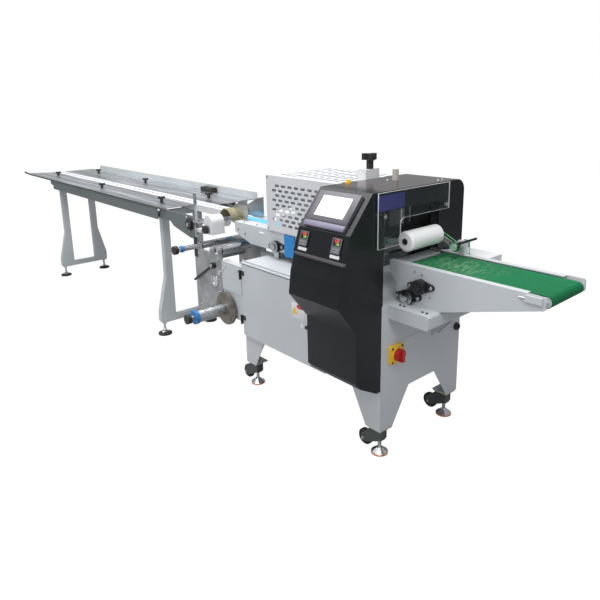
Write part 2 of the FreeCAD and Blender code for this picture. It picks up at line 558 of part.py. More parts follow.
# ---- film unwind -----------------------------------------------------------------------------
def film_unwind():
    x0, x1 = FILM_X
    z0, z1 = FILM_Z
    y0, y1 = FILM_Y
    outline = [(x0, z0), (x1, z0), (x1, z1), (x1 - 14, z1 + 12), (x0 + 8, z1 + 12), (x0, z1)]
    near = prism("xz", outline, y0, y0 + FILM_PLATE)
    far = prism("xz", outline, y1 - FILM_PLATE, y1)
    horns = [box(x - 16, x + 16, a, a + FILM_PLATE, z1 - 10, z + 14)
             for x, z, r in IDLERS for a in (y0, y1 - FILM_PLATE)]
    plates = [near, far] + horns
    drills = [rod("y", x, z, IDLER_PIN + RUN, y0 - 1, y1 + 1) for x, z, r in IDLERS]
    reel_bore = rod("y", REEL_AT[0], REEL_AT[1], 20 + RUN, y0 - 1, y1 + 1)
    column = box(x1, -BASE_LENGTH, y0, y0 + 40, REEL_AT[1] + 105, z1 - 14)
    lower = box(x1, -BASE_LENGTH, y0 + 4, y0 + 40, REEL_AT[1] - 46, REEL_AT[1] + 105)
    notch = box(-BASE_LENGTH - 16, -BASE_LENGTH, y0 - 1, y0 + 31, z0, z1)
    column, lower = column.cut(notch), lower.cut(notch)
    far_column = box(x1, -BASE_LENGTH, y1 - 40, y1, z0 + 40, z1 - 14)
    spacers = [rod("y", x, z, 14, y0 + FILM_PLATE, y1 - FILM_PLATE)
               for x, z in ((x0 + 40, z0 + 40), (x1 - 40, z0 + 60), (x0 + 45, z1 - 60))]
    lx, lz = LEVER_AT
    pivot = [rod("y", lx, lz, 6, y0 - 23, y0), rod("y", lx, lz, 10, y0 - 27, y0 - 22)]
    frame = fuse(plates + [column, lower, far_column] + spacers + pivot)
    for drill in drills + [reel_bore]:
        frame = frame.cut(drill)
    parts["film_frame"] = frame
    # a flat strap ties the near plate to the drive plate of the infeed table
    parts["tie_strap"] = box(x0 - 11, x0 + 20, y0 - PLATE, y0, z1 - 41, z1 + 74)

    # reel: a chuck shaft with a flange disc, a collar and a hand knob on its tip
    rx, rz = REEL_AT
    disc_face = y0 - 6
    journal = rod("y", rx, rz, 20, disc_face, y0 + 40)
    disc = rod("y", rx, rz, DISC_R, disc_face - DISC_T, disc_face)
    parts["reel_disc"] = fuse([disc, journal])
    grey_end = REEL_TIP + 66
    mandrel = rod("y", rx, rz, REEL_R, grey_end, disc_face - DISC_T)
    collar = rod("y", rx, rz, COLLAR_R, grey_end - 20, grey_end)
    knob = rod("y", rx, rz, 26, REEL_TIP, REEL_TIP + 24)
    stem = rod("y", rx, rz, 13, REEL_TIP + 24, grey_end - 20)
    parts["reel_shaft"] = fuse([mandrel, collar, knob, stem])
    axes["reel_spin"] = (rx, disc_face, rz)

    # idler rollers turn on their own pins; the first one's shaft runs on to a collar and a knob
    for k, (x, z, r) in enumerate(IDLERS):
        roller = rod("y", x, z, r, y0 + FILM_PLATE + 5, y1 - FILM_PLATE - 5)
        pieces = [roller, rod("y", x, z, IDLER_PIN, y0 - 12, y1 + 3)]
        if k == 0:
            pieces.append(rod("y", x, z, 15, SHAFT_TIP + 62, y0 - 12))
            pieces.append(rod("y", x, z, 19, SHAFT_TIP + 44, SHAFT_TIP + 62))
            pieces.append(rod("y", x, z, 13, SHAFT_TIP + 22, SHAFT_TIP + 44))
            pieces.append(rod("y", x, z, 25, SHAFT_TIP, SHAFT_TIP + 22))
        parts["idler_roller_%d" % (k + 1)] = fuse(pieces)
        axes["idler_%d_spin" % (k + 1)] = (x, y0, z)

    # brake lever on the near plate
    hub = rod("y", lx, lz, 17, y0 - 21, y0 - 1)
    grip = rod("x", y0 - 16, lz, 7, lx - LEVER_LENGTH, lx - 70)
    link = box(lx - 80, lx, y0 - 21, y0 - 11, lz - 6, lz + 6)
    lever = fuse([turn(fuse([grip, link]), V(lx, y0, lz), V(0, 1, 0), -32), hub])
    parts["brake_lever"] = lever.cut(rod("y", lx, lz, 6 + RUN, y0 - 22, y0))
    axes["brake_swing"] = (lx, y0, lz)


# ---- base ------------------------------------------------------------------------------------
def base():
    x0 = -BASE_LENGTH
    y0, y1 = -BASE_HALF, BASE_HALF
    z0, z1 = BASE_BOTTOM, BASE_TOP
    front = y0 - FRONT_DEPTH
    bay = box(DOOR_RIGHT + DOOR_GAP, 0, y0, y1, z0, z1)
    strip = box(DOOR_RIGHT + DOOR_GAP, STRIP_RIGHT, front, y0, z0, z1)
    panel = box(0, 2, -134, 44, 380, 520)
    parts["base_housing"] = fuse([bay, strip, panel])
    right = DOOR_RIGHT + DOOR_GAP
    parts["cabinet_shell"] = fuse([box(x0, x0 + SHEET, y0, y1, z0, z1),
                                   box(x0 + SHEET, right, y1 - SHEET, y1, z0, z1),
                                   box(x0 + SHEET, right, y0, y1 - SHEET, z0, z0 + SHEET)])
    bed = box(x0, 0, y0, y1, z1, z1 + BED)
    parts["bed_plate"] = fuse([bed, box(x0, STRIP_RIGHT, front, y0, z1, z1 + 5),
                               box(x0, STRIP_RIGHT, y0 - 4, y0, z1 + 5, z1 + 16)])

    # the door: a folded pan hung on two hinges at its left edge
    door_left = x0 + DOOR_GAP
    door_top = z1 - DOOR_GAP
    pan = box(door_left, DOOR_RIGHT, front, y0 - DOOR_GAP, z0, door_top)
    hollow = box(door_left + SHEET, DOOR_RIGHT - SHEET, front + SHEET, y0, z0 + SHEET, door_top - SHEET)
    pan = pan.cut(hollow)
    hinge_x, hinge_y = x0 - 6.0, front - 4.0
    barrels, fixed = [], []
    for z in (z0 + 60, z1 - 90):
        knuckle = rod("z", hinge_x, hinge_y, 6, z + 26, z + 50)
        leaf = box(hinge_x, door_left + 22, front - 3, front, z + 26, z + 50)
        barrels.append(fuse([knuckle, leaf]).cut(rod("z", hinge_x, hinge_y, 2.5 + RUN, z + 20, z + 51)))
        lower = rod("z", hinge_x, hinge_y, 6, z, z + 25)
        bracket = box(x0 - 12, x0, hinge_y, y0 + 24, z, z + 25)
        fixed.append(fuse([lower, bracket, rod("z", hinge_x, hinge_y, 2.5, z, z + 50)]))
    axes["cabinet_door"] = (hinge_x, hinge_y, z0)
    latch = box(DOOR_RIGHT - 30, DOOR_RIGHT - 10, front - 9, front, 500, 590)
    lock = rod("y", DOOR_RIGHT - 20, 485, 9, front - 11, front)
    parts["cabinet_door"] = fuse([pan, latch, lock] + barrels)
    return fixed


def base_legs():
    shells = []
    for sx, x in ((1, -BASE_LENGTH), (-1, 0.0)):
        for sy, y in ((1, -BASE_HALF), (-1, BASE_HALF)):
            top, low = LEG_TOP_WIDTH, LEG_FOOT_WIDTH
            front = prism("xz", [(x, BASE_BOTTOM), (x + sx * top, BASE_BOTTOM), (x + sx * low, LEG_BOTTOM),
                                 (x, LEG_BOTTOM)], min(y, y + sy * LEG_SHEET), max(y, y + sy * LEG_SHEET))
            inner = LEG_TOP_WIDTH + 22
            side = prism("yz", [(y, BASE_BOTTOM), (y + sy * inner, BASE_BOTTOM), (y + sy * low, LEG_BOTTOM),
                                (y, LEG_BOTTOM)], min(x, x + sx * LEG_SHEET), max(x, x + sx * LEG_SHEET))
            foot = box(min(x, x + sx * low), max(x, x + sx * low), min(y, y + sy * low),
                       max(y, y + sy * low), LEG_BOTTOM, LEG_BOTTOM + LEG_SHEET)
            shells.append(fuse([front, side, foot]))
    parts["base_legs"] = together(shells)


def castors():
    """Four levelling castors: a pad on a screw stem, and a wheel in a bracket beside it."""
    pads, brackets = [], []
    wheel_z = WHEEL_R + WHEEL_LIFT
    under = LEG_BOTTOM - CASTOR_PLATE
    k = 0
    for x in (-BASE_LENGTH + FOOT_X, -FOOT_X):
        for y in (-FOOT_Y, FOOT_Y):
            k += 1
            plate = box(x - 38, x + 36, y - 38, y + 38, under, LEG_BOTTOM)
            ring = rod("z", x, y, PAD_R, 0, RING_H)
            dome = Part.makeCone(PAD_R - 1, 14, PAD_H - RING_H, V(x, y, RING_H))
            stem = rod("z", x, y, STEM_R, PAD_H, under)
            pads.append(fuse([ring, dome, stem]))
            ax = x - WHEEL_BACK
            cheeks = []
            for s in (-1, 1):
                a = y + s * (WHEEL_W / 2 + FORK)
                b = a + s * CHEEK
                cheek = prism("xz", [(x + 22, under - 4), (x - 30, under - 4), (ax - 12, wheel_z + 20),
                                     (ax - 10, wheel_z - 14), (ax + 14, wheel_z - 14), (x + 4, 62),
                                     (x + 22, 74)], min(a, b), max(a, b))
                cheeks.append(cheek)
            half = WHEEL_W / 2 + FORK + CHEEK
            bridge = box(x - 30, x + 22, y - half, y + half, under - 4, under)
            body = box(x - 20, x + 20, y - half + CHEEK, y + half - CHEEK, 66, under - 4)
            axle = rod("y", ax, wheel_z, AXLE_R, y - half, y + half)
            bracket = fuse(cheeks + [bridge, body, plate]).cut(rod("z", x, y, STEM_R, 20, under))
            brackets.append(fuse([bracket, axle]))
            tyre = rod("y", ax, wheel_z, WHEEL_R, y - WHEEL_W / 2, y + WHEEL_W / 2)
            rims = [e for e in tyre.Edges if isinstance(e.Curve, Part.Circle)]
            tyre = tyre.makeChamfer(TYRE_BEVEL, rims)
            name = "castor_wheel_%d" % k
            parts[name] = tyre.cut(rod("y", ax, wheel_z, AXLE_R + RUN, y - WHEEL_W, y + WHEEL_W))
            axes[name + "_spin"] = (ax, y, wheel_z)
    parts["levelling_pads"] = together(pads)
    parts["castor_brackets"] = together(brackets)


# ---- console and hood ------------------------------------------------------------------------
def console_outline():
    """Side profile of the console, Y and Z, from its top corner down the front and up the back."""
    back = -BASE_HALF
    return [(HOOD_FRONT, HOOD_TOP), SLOPE_FOOT, LEDGE, (LEDGE[0] + 2, LEDGE[1] - 10),
            (BELLY[0] + 12, BELLY[1] + 95), BELLY, KNEE, SHIN, (-404.0, 376.0), (-306.0, 322.0),
            (back, 322.0), (back, BASE_TOP + BED), (TUNNEL[0], BASE_TOP + BED), (TUNNEL[0], HOOD_TOP)]


def console():
    x0 = -CONSOLE_LENGTH
    body = prism("yz", console_outline(), x0, 0.0)
    # the lower left corner is cut off at a slant
    slant = [(x0 - 1, 300), (x0 + 175, 300), (x0 + 42, 366), (x0 - 1, 372)]
    body = body.cut(prism("xz", slant, -560, -BASE_HALF - 1))
    # the ledge under the controllers
    y, z = LEDGE
    ledge = box(-LEDGE_LENGTH, 8.0, y - LEDGE_PROUD, y + 4, z - LEDGE_THICK, z)
    parts["console"] = fuse([body, ledge])

    # screen, on the slope
    along = V(0, SLOPE_FOOT[0] - HOOD_FRONT, SLOPE_FOOT[1] - HOOD_TOP)
    slope_length = along.Length
    tilt = math.degrees(math.atan2(-(SLOPE_FOOT[0] - HOOD_FRONT), HOOD_TOP - SLOPE_FOOT[1]))
    frame = box(-SCREEN_W / 2, SCREEN_W / 2, -SCREEN_DEPTH, 0, -SCREEN_H, 0)
    frame = round_edges(frame, 6.0, lambda e: runs_along(e, V(0, 1, 0)))
    side, sunk = SCREEN_W / 2 - SCREEN_BORDER, -SCREEN_DEPTH + 2
    window = box(-side, side, -SCREEN_DEPTH - 1, sunk, -SCREEN_H + 34, -24)
    frame = frame.cut(window)
    down = along * (1 / slope_length)
    start = V(-148.0, HOOD_FRONT, HOOD_TOP) + down * (slope_length - SCREEN_H - 6)
    screen = turn(frame, V(0, 0, 0), V(1, 0, 0), -tilt)
    screen.translate(start)

    # two temperature controllers on the facet below
    facet = V(0, LEDGE[0] - SLOPE_FOOT[0], LEDGE[1] - SLOPE_FOOT[1])
    lean = math.degrees(math.atan2(-(LEDGE[0] - SLOPE_FOOT[0]), SLOPE_FOOT[1] - LEDGE[1]))
    units = []
    for x in (-238.0, -54.0):
        unit = box(x - CONTROLLER_W / 2, x + CONTROLLER_W / 2, -4, 0, -CONTROLLER_H, 0)
        unit = turn(unit, V(0, 0, 0), V(1, 0, 0), -lean)
        unit.translate(V(0, SLOPE_FOOT[0], SLOPE_FOOT[1]) + facet * 0.14)
        units.append(unit)
    parts["console_instruments"] = together([screen] + units)


def hood():
    top_inner = HOOD_TOP - SHEET
    x0 = -HOOD_LENGTH
    y0, y1 = TUNNEL[0], HOOD_BACK
    low = BASE_TOP + BED
    # roof and far wall are one bent sheet

    def skin(offset):
        r = HOOD_CORNER - offset
        c = V(x0, y1 - HOOD_CORNER, HOOD_TOP - HOOD_CORNER)
        a = V(x0, y0, HOOD_TOP - offset)
        b = V(x0, c.y, HOOD_TOP - offset)
        m = c + V(0, r * math.sin(math.pi / 4), r * math.cos(math.pi / 4))
        d = V(x0, y1 - offset, c.z)
        e = V(x0, y1 - offset, low)
        return a, b, m, d, e

    a, b, m, d, e = skin(0.0)
    a2, b2, m2, d2, e2 = skin(SHEET)
    outer = [Part.makeLine(a, b), Part.Arc(b, m, d).toShape(), Part.makeLine(d, e)]
    inner = [Part.makeLine(e2, d2), Part.Arc(d2, m2, b2).toShape(), Part.makeLine(b2, a2)]
    edges = outer + [Part.makeLine(e, e2)] + inner + [Part.makeLine(a2, a)]
    parts["hood_skin"] = Part.Face(Part.Wire(edges)).extrude(V(HOOD_LENGTH, 0, 0))
    # end plate with the product opening: the strip over it and the strip beyond it
    inner_far = y1 - SHEET
    strip = box(-SHEET, 0, y0, TUNNEL[1], TUNNEL[3], top_inner)
    corner = V(-SHEET, y1 - HOOD_CORNER, HOOD_TOP - HOOD_CORNER)
    wide = box(-SHEET, 0, TUNNEL[1], inner_far, low, top_inner)
    wide = wide.cut(box(-SHEET, 0, TUNNEL[1], DIS_Y[1] + SWING / 2, low, BELT_TOP + DIS_RISE + SWING))
    nib = box(-SHEET, 0, corner.y, y1 + 1, corner.z, HOOD_TOP + 1)
    nib = nib.cut(rod("x", corner.y, corner.z, HOOD_CORNER - SHEET, -SHEET, 0))
    near_stud, far_stud = [rod("x", y, GUARD_SCREW_Z, 7, 0, GUARD_X) for y in GUARD_SCREW_Y]
    parts["hood_end_plate"] = fuse([strip, wide.cut(nib), far_stud])
    parts["console"] = fuse([parts["console"], near_stud])

    x, y = BUTTON
    collar = rod("z", x, y, 13, HOOD_TOP, HOOD_TOP + 5)
    button = fuse([collar, rod("z", x, y, 10, HOOD_TOP + 5, HOOD_TOP + 15)])
    post = rod("z", POST[0], POST[1], POST_R, HOOD_TOP, HOOD_TOP + POST_H)
    fittings.extend([button, post])
    parts["servo_cover"] = box(0, GUARD_X - SHEET, *SERVO_COVER)


def end_seal():
    """Jaw frame inside the hood, with its adjusting knob over the cover's end."""
    x0, x1 = JAW_X - 46, JAW_X + 46
    low = BASE_TOP + BED
    cheeks = [box(x0, x1, y, y + 14, low, 1120) for y in (-240, 150)]
    tie = box(x0, x1, -226, 150, 1092, 1120)
    jaws = []
    for z in (SEAL_LINE + 34, SEAL_LINE - 34):
        shaft = rod("y", JAW_X, z, 12, -226, 150)
        block = box(JAW_X - 22, JAW_X + 22, -120, 90, z - 24, z + 24)
        nose = box(JAW_X - 9, JAW_X + 9, -120, 90, z - 30, z + 30)
        jaws.append(fuse([shaft, block, nose]))
    rods = [rod("z", JAW_X, y, 9, SEAL_LINE + 90, 1092) for y in (-80, 50)]
    bar = box(JAW_X - 24, JAW_X + 24, -226, 150, SEAL_LINE + 68, SEAL_LINE + 98)
    parts["jaw_frame"] = fuse(cheeks + [tie] + rods + [bar])
    parts["seal_jaws"] = together(jaws)

    # the housing between the cover and the hood carries the knob's raised box
    hx0, hx1 = COVER_X[1] + SWING, -HOOD_LENGTH - 1
    wall_y = COVER_Y[0]
    side = box(hx0, hx1, wall_y, wall_y + SHEET, COVER_Z[0] - 30, COVER_Z[1])
    lid = box(hx0, hx1, wall_y + SHEET, HOOD_BACK, COVER_Z[1] - SHEET, COVER_Z[1])
    far = box(hx0, hx1, HOOD_BACK - SHEET, HOOD_BACK, BASE_TOP + BED, COVER_Z[1] - SHEET)
    near_leg = box(hx0, hx1, wall_y, wall_y + SHEET, BASE_TOP + BED, COVER_Z[0] - 30)
    stud_z = COVER_Z[1] + 66
    bx, by = COVER_X[1] + 5 + KNOB_REACH, -20.0
    raised = box(hx0 + 2, hx1 - 1, by - 45, by + 45, COVER_Z[1], stud_z)
    stud = rod("z", bx, by, 8, stud_z, stud_z + 34)
    parts["seal_housing"] = fuse([side, near_leg, lid, far, raised, stud])
    knob = lobe_knob(bx, by, stud_z + GAP, KNOB_REACH, 68)
    parts["pressure_knob"] = knob.cut(rod("z", bx, by, 8 + RUN, stud_z, stud_z + 34.5))
    axes["pressure_knob"] = (bx, by, stud_z)


def guard():
    (y0, y1), x = GUARD_Y, GUARD_X
    outline = [(y0, HOOD_TOP - 2), (y1, HOOD_TOP - 2), (y1, GUARD_MID), (GUARD_STEP + 14, GUARD_MID),
               (GUARD_STEP, GUARD_MID - 14), (GUARD_STEP, GUARD_LOW), (y0, GUARD_LOW)]
    parts["seal_guard"] = prism("yz", outline, x, x + GUARD_T)
    heads = [rod("x", y, GUARD_SCREW_Z, 9, x + GUARD_T, x + GUARD_T + 9) for y in GUARD_SCREW_Y]
    parts["hood_fittings"] = together(fittings + heads)


# ---- discharge -------------------------------------------------------------------------------
def discharge():
    x0, x1 = DIS_X
    y0, y1 = DIS_Y
    top = BELT_TOP + DIS_RISE
    belt_y = (y0 + DIS_FLANGE + BELT_EDGE, y1 - DIS_FLANGE - BELT_EDGE)
    axis_z = BELT_TOP - BELT_T - DIS_ROLLER - GAP
    nose = [(x1 - 6, top), (x1, top - 6), (x1, top - 44), (x1 - 8, top - 50), (x1 - 14, top - 51)]
    foot = [(SHELF_X, SHELF_TOP + 2), (SHELF_X, SHELF_TOP), (0, SHELF_TOP), (0, BASE_TOP + BED + 1),
            (x0 + 38, BASE_TOP + BED + 1), (x0 + 36, 768)]
    outline = [(x0, top)] + nose + foot + [(x0, top - 40)]
    plates = []
    near = (y0, y0 + PLATE, y0 + PLATE, y0 + DIS_FLANGE)
    far = (y1 - PLATE, y1, y1 - DIS_FLANGE, y1 - PLATE)
    for a, b, f0, f1 in (near, far):
        web = prism("xz", outline, a, b)
        flange = box(x0, x1 - 70, f0, f1, top - 3, top)
        plates.append(fuse([web, flange]))
    px, pz = ARM_AT
    bracket = box(px - 18, px + 18, y1 - DIS_FLANGE, y1, top, pz + 18)
    pin = rod("y", px, pz, 8, ARM_Y[0] - 6, y1)
    cap = rod("y", px, pz, 16, ARM_Y[0] - 10, ARM_Y[0] - 4)
    x_tail, x_nose = 0.0 + 30.0, x1 - DIS_ROLLER + 4
    parts["discharge_belt"] = loop(x_tail, x_nose, axis_z, DIS_ROLLER + GAP, BELT_T, *belt_y)
    rollers = []
    for x in (x_tail, x_nose):
        journal = rod("y", x, axis_z, 8, y0 + PLATE, y1 - PLATE)
        rollers.append(fuse([rod("y", x, axis_z, DIS_ROLLER, *belt_y), journal]))
    bed = box(x_tail + DIS_ROLLER + 6, x_nose - DIS_ROLLER - 6, belt_y[0], belt_y[1],
              axis_z - DIS_ROLLER + 4, axis_z + DIS_ROLLER)
    ties = [box(x, x + 24, y0 + PLATE, y1 - PLATE, axis_z - 8, axis_z + 8) for x in (130, 440)]
    infill = box(x0, -4, belt_y[0], belt_y[1], BELT_TOP - 8, BELT_TOP)
    lugs = box(x0 + 4, -8, y0 + PLATE, y1 - PLATE, BELT_TOP - 14, BELT_TOP - 8)
    parts["discharge_bed"] = together([fuse([bed] + ties), fuse([infill, lugs])] + rollers)
    # take-up blocks at the end roller
    blocks = []
    for a, b in ((y0 - 7, y0), (y1, y1 + 7)):
        block = box(x1 - 74, x1 - 12, a, b, top - 30, top - 6)
        screw = rod("x", (a + b) / 2, top - 18, 3, x1 - 96, x1 - 74)
        blocks.append(fuse([block, screw]))
    near_side = fuse([plates[0], blocks[0]])
    far_side = fuse([plates[1], bracket, pin, cap, blocks[1]])
    parts["discharge_sides"] = together([near_side, far_side])

    bearings.extend([flange_bearing(105.0, y0, 783.0), flange_bearing(45.0, y0, 728.5)])

    # box shelf on the base that carries the conveyor
    outer = box(0, SHELF_X, SHELF_Y[0], SHELF_Y[1], SHELF_TOP - SHELF_H, SHELF_TOP)
    outer = round_edges(outer, 10, lambda e: runs_along(e, V(0, 1, 0)) and e.CenterOfMass.x > 1)
    foot = SHELF_TOP - SHELF_H
    ribs = [prism("xz", [(0, foot), (150, foot), (0, 470)], y, y + 6) for y in (60, 110)]
    bx, by0, by1 = MOTOR_BOX
    motor_box = box(0.0, bx, by0, by1, foot, BELT_TOP + 1)
    parts["discharge_shelf"] = together([fuse([outer] + ribs), motor_box])


def outfeed_roller():
    x, z = ROLLER_AT
    y0, y1 = ROLLER_Y
    body = rod("y", x, z, ROLLER_R, y0 + 8, y1)
    cap = Part.makeCone(ROLLER_R - 8, ROLLER_R, 8, V(x, y0, z), V(0, 1, 0))
    parts["press_roller"] = fuse([body, cap]).cut(rod("y", x, z, 7 + RUN, y0 - 1, y1 + 1))
    axes["press_roller_spin"] = (x, y0, z)
    px, pz = ARM_AT
    a0, a1 = ARM_Y
    length = math.hypot(px - x, pz - z)
    bar = box(0, length, a0, a1, -11, 11)
    slot = box(26, length - 30, a0 - 1, a1 + 1, -4, 4)
    bar = bar.cut(slot)
    angle = math.degrees(math.atan2(pz - z, px - x))
    bar = turn(bar, V(0, 0, 0), V(0, 1, 0), -angle)
    bar.translate(V(x, 0, z))
    ends = [rod("y", x, z, ARM_BOSS, a0, a1), rod("y", px, pz, ARM_BOSS + 4, a0, a1)]
    spindle = rod("y", x, z, 7, y0 + 2, a0)
    handle = turn(rod("x", (a0 + a1) / 2, pz + 8, 5, px + 14, px + 112), V(px, 0, pz), V(0, 1, 0), -24)
    root = turn(box(px, px + 30, a0, a1, pz + 0, pz + 14), V(px, 0, pz), V(0, 1, 0), -24)
    arm = fuse([bar] + ends + [root]).cut(rod("y", px, pz, 8 + RUN, a0 - 1, a1 + 1))
    parts["roller_arm"] = fuse([arm, spindle, handle])
    axes["arm_lift"] = (px, a0, pz)


def main_switch():
    y, z = -195.0, 471.0
    plate = box(0, 16, y - 40, y + 40, z - 40, z + 40)
    plate = round_edges(plate, 8, lambda e: runs_along(e, V(1, 0, 0)))
    seat = rod("x", y, z, 32, 16, 20)
    bore = rod("x", y, z, 8 + RUN, 6, 21)
    parts["switch_plate"] = fuse([plate, seat]).cut(bore)
    knob = rod("x", y, z, 27, 20 + GAP, 40)
    grip = box(40, 52, y - 8, y + 8, z - 26, z + 26)
    parts["switch_knob"] = fuse([knob, grip, rod("x", y, z, 8, 7, 22)])
    axes["main_switch"] = (0, y, z)


def clamp_knobs():
    top = TABLE_TOP
    for back, y in TABLE_KNOBS:
        knobs.append(lobe_knob(BASE_END - back, y, top, TABLE_KNOB_R, TABLE_KNOB_H))
    block_x, block_y = TABLE_BLOCK
    knobs.append(box(BASE_END - block_x[0], BASE_END - block_x[1], *block_y, top, top + TABLE_KNOB_H))
    parts["clamp_knobs"] = together(knobs)


def save():
    whole = Part.makeCompound(list(parts.values()))
    size = whole.BoundBox
    shift = V(-(size.XMin + size.XMax) / 2, -(size.YMin + size.YMax) / 2, -size.ZMin)
    os.makedirs("parts", exist_ok=True)
    for name, shape in parts.items():
        placed = shape.copy()
        placed.translate(shift)
        placed.exportStep("parts/%s.step" % name)
    print("overall size", [round(v, 1) for v in (size.XLength, size.YLength, size.ZLength)])
    print("moved by", [round(v, 3) for v in shift])
    for name, point in axes.items():
        print("axis", name, *[round((point[k] + shift[k]) / 1000, 6) for k in range(3)])
    print("pieces", len(parts), "solids", len(whole.Solids))


drive_z = infeed_table()
infeed_drive(drive_z)
transfer_parts()
clamp_knobs()
feed_conveyor()
forming_section()
brackets = cover()
film_unwind()
brackets += base()
parts["hinge_brackets"] = together(brackets)
base_legs()
castors()
console()
hood()
end_seal()
guard()
discharge()
parts["bearing_units"] = together(bearings)
outfeed_roller()
main_switch()
save()
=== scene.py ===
# %% [markdown]
# # Horizontal flow wrapper, dressed in Blender
# The construction model is loaded first.  Every piece keeps its place in that frame, and this
# lesson adds finishes, small fittings, light and a camera.

# %% Load the construction model
import math

import bpy
from mathutils import Matrix, Vector


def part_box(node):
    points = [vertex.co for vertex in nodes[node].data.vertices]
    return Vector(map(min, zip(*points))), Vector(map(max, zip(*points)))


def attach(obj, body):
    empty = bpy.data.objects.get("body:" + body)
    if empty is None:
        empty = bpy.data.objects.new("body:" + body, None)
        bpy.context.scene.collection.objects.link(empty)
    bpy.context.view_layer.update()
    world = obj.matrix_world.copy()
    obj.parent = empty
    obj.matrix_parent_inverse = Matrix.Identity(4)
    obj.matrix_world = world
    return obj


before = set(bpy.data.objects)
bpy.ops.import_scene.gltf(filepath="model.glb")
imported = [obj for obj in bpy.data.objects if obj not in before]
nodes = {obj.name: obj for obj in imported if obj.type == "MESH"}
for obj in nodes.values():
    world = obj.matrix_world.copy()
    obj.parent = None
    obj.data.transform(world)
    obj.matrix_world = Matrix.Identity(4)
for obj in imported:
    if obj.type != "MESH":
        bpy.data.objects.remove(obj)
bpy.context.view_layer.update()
print("nodes loaded:", len(nodes))

# %% [markdown]
# ## Where things are
# The drawing of the machine measures X from the discharge face of the base and Y from the middle
# of its feet, in millimetres.  `at` turns such a point into metres in the frame.

# %% Places
base_low, base_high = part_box("bed_plate")
FACE_X = base_high[0]
MIDDLE_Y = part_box("base_legs")[0][1] + 0.280


def at(x, y, z):
    return Vector((FACE_X + x / 1000, MIDDLE_Y + y / 1000, z / 1000))


print("discharge face at", round(FACE_X, 4), "middle at", round(MIDDLE_Y, 4))

# %% [markdown]
# ## Finishes
# The machine is powder-coated sheet, brushed and polished steel, moulded plastic and rubber.  One
# flat colour looks lifeless, and a painted image would need a file of its own.  So one group of
# noise nodes gives a colour and a roughness that vary a little over the surface, and every finish
# uses that group with its own numbers.

# %% The shared surface group
def make_mottle():
    group = bpy.data.node_groups.new("mottle", "ShaderNodeTree")
    face = group.interface
    for name, kind in (("Colour", "NodeSocketColor"), ("Dark", "NodeSocketColor"),
                       ("Roughness", "NodeSocketFloat"), ("Spread", "NodeSocketFloat"),
                       ("Scale", "NodeSocketVector")):
        face.new_socket(name=name, in_out="INPUT", socket_type=kind)
    for name, kind in (("Colour", "NodeSocketColor"), ("Roughness", "NodeSocketFloat")):
        face.new_socket(name=name, in_out="OUTPUT", socket_type=kind)
    make, join = group.nodes.new, group.links.new
    inp, out = make("NodeGroupInput"), make("NodeGroupOutput")
    place, stretch = make("ShaderNodeTexCoord"), make("ShaderNodeMapping")
    join(place.outputs["Object"], stretch.inputs["Vector"])
    join(inp.outputs["Scale"], stretch.inputs["Scale"])
    noise = make("ShaderNodeTexNoise")
    noise.inputs["Detail"].default_value = 6.0
    noise.inputs["Scale"].default_value = 1.0
    join(stretch.outputs["Vector"], noise.inputs["Vector"])
    ramp = make("ShaderNodeMapRange")
    ramp.inputs["From Min"].default_value = 0.35
    ramp.inputs["From Max"].default_value = 0.65
    join(noise.outputs["Fac"], ramp.inputs["Value"])
    mix = make("ShaderNodeMix")
    mix.data_type = "RGBA"
    join(ramp.outputs["Result"], mix.inputs["Factor"])
    join(inp.outputs["Dark"], mix.inputs["A"])
    join(inp.outputs["Colour"], mix.inputs["B"])
    spread = make("ShaderNodeMath")
    spread.operation = "MULTIPLY_ADD"
    join(ramp.outputs["Result"], spread.inputs[0])
    join(inp.outputs["Spread"], spread.inputs[1])
    join(inp.outputs["Roughness"], spread.inputs[2])
    join(mix.outputs["Result"], out.inputs["Colour"])
    join(spread.outputs["Value"], out.inputs["Roughness"])
    return group


mottle = make_mottle()
finishes = {}


def finish(name, colour, dark, rough, spread=0.06, scale=(6, 6, 6), metal=0.0, shine=0.5):
    """A named finish: colour runs between dark and colour, roughness from rough upwards."""
    material = bpy.data.materials.new(name)
    material.use_nodes = True
    tree = material.node_tree
    shader = tree.nodes["Principled BSDF"]
    shader.inputs["Metallic"].default_value = metal
    shader.inputs["Specular IOR Level"].default_value = shine
    group = tree.nodes.new("ShaderNodeGroup")
    group.node_tree = mottle
    group.inputs["Colour"].default_value = (*colour, 1)
    group.inputs["Dark"].default_value = (*dark, 1)
    group.inputs["Roughness"].default_value = rough
    group.inputs["Spread"].default_value = spread
    group.inputs["Scale"].default_value = scale
    tree.links.new(group.outputs["Colour"], shader.inputs["Base Color"])
    tree.links.new(group.outputs["Roughness"], shader.inputs["Roughness"])
    finishes[name] = material
    return material


# %% [markdown]
# Each line is one finish: its brighter and its darker colour, its lowest roughness and how much
# that varies, how fine the grain is along X, Y and Z, and how metallic it is.  A grain that is
# coarse along X and fine across it gives the drawn lines of brushed sheet.

# %% The finishes of this machine
finish("base_paint", (0.545, 0.570, 0.590), (0.510, 0.535, 0.555), 0.34, scale=(3, 3, 3))
# The cover's white powder coat, darkened to grey as painted shade for its shaded front face.
finish("shaded_cover_white", (0.63, 0.64, 0.66), (0.60, 0.61, 0.63), 0.40)
finish("table_paint", (0.150, 0.170, 0.170), (0.120, 0.140, 0.138), 0.35, scale=(2, 5, 5))
finish("leg_paint", (0.52, 0.555, 0.565), (0.46, 0.495, 0.505), 0.34, scale=(3, 3, 3))
finish("white_paint", (0.78, 0.78, 0.79), (0.73, 0.73, 0.74), 0.32)
finish("roller_white", (0.88, 0.88, 0.88), (0.82, 0.82, 0.82), 0.45)
finish("brushed_sheet", (0.66, 0.67, 0.68), (0.52, 0.53, 0.54), 0.26, 0.12, (2, 60, 60), metal=1.0)
finish("shelf_steel", (0.74, 0.75, 0.78), (0.52, 0.54, 0.57), 0.24, 0.16, (1.5, 30, 30), metal=1.0)
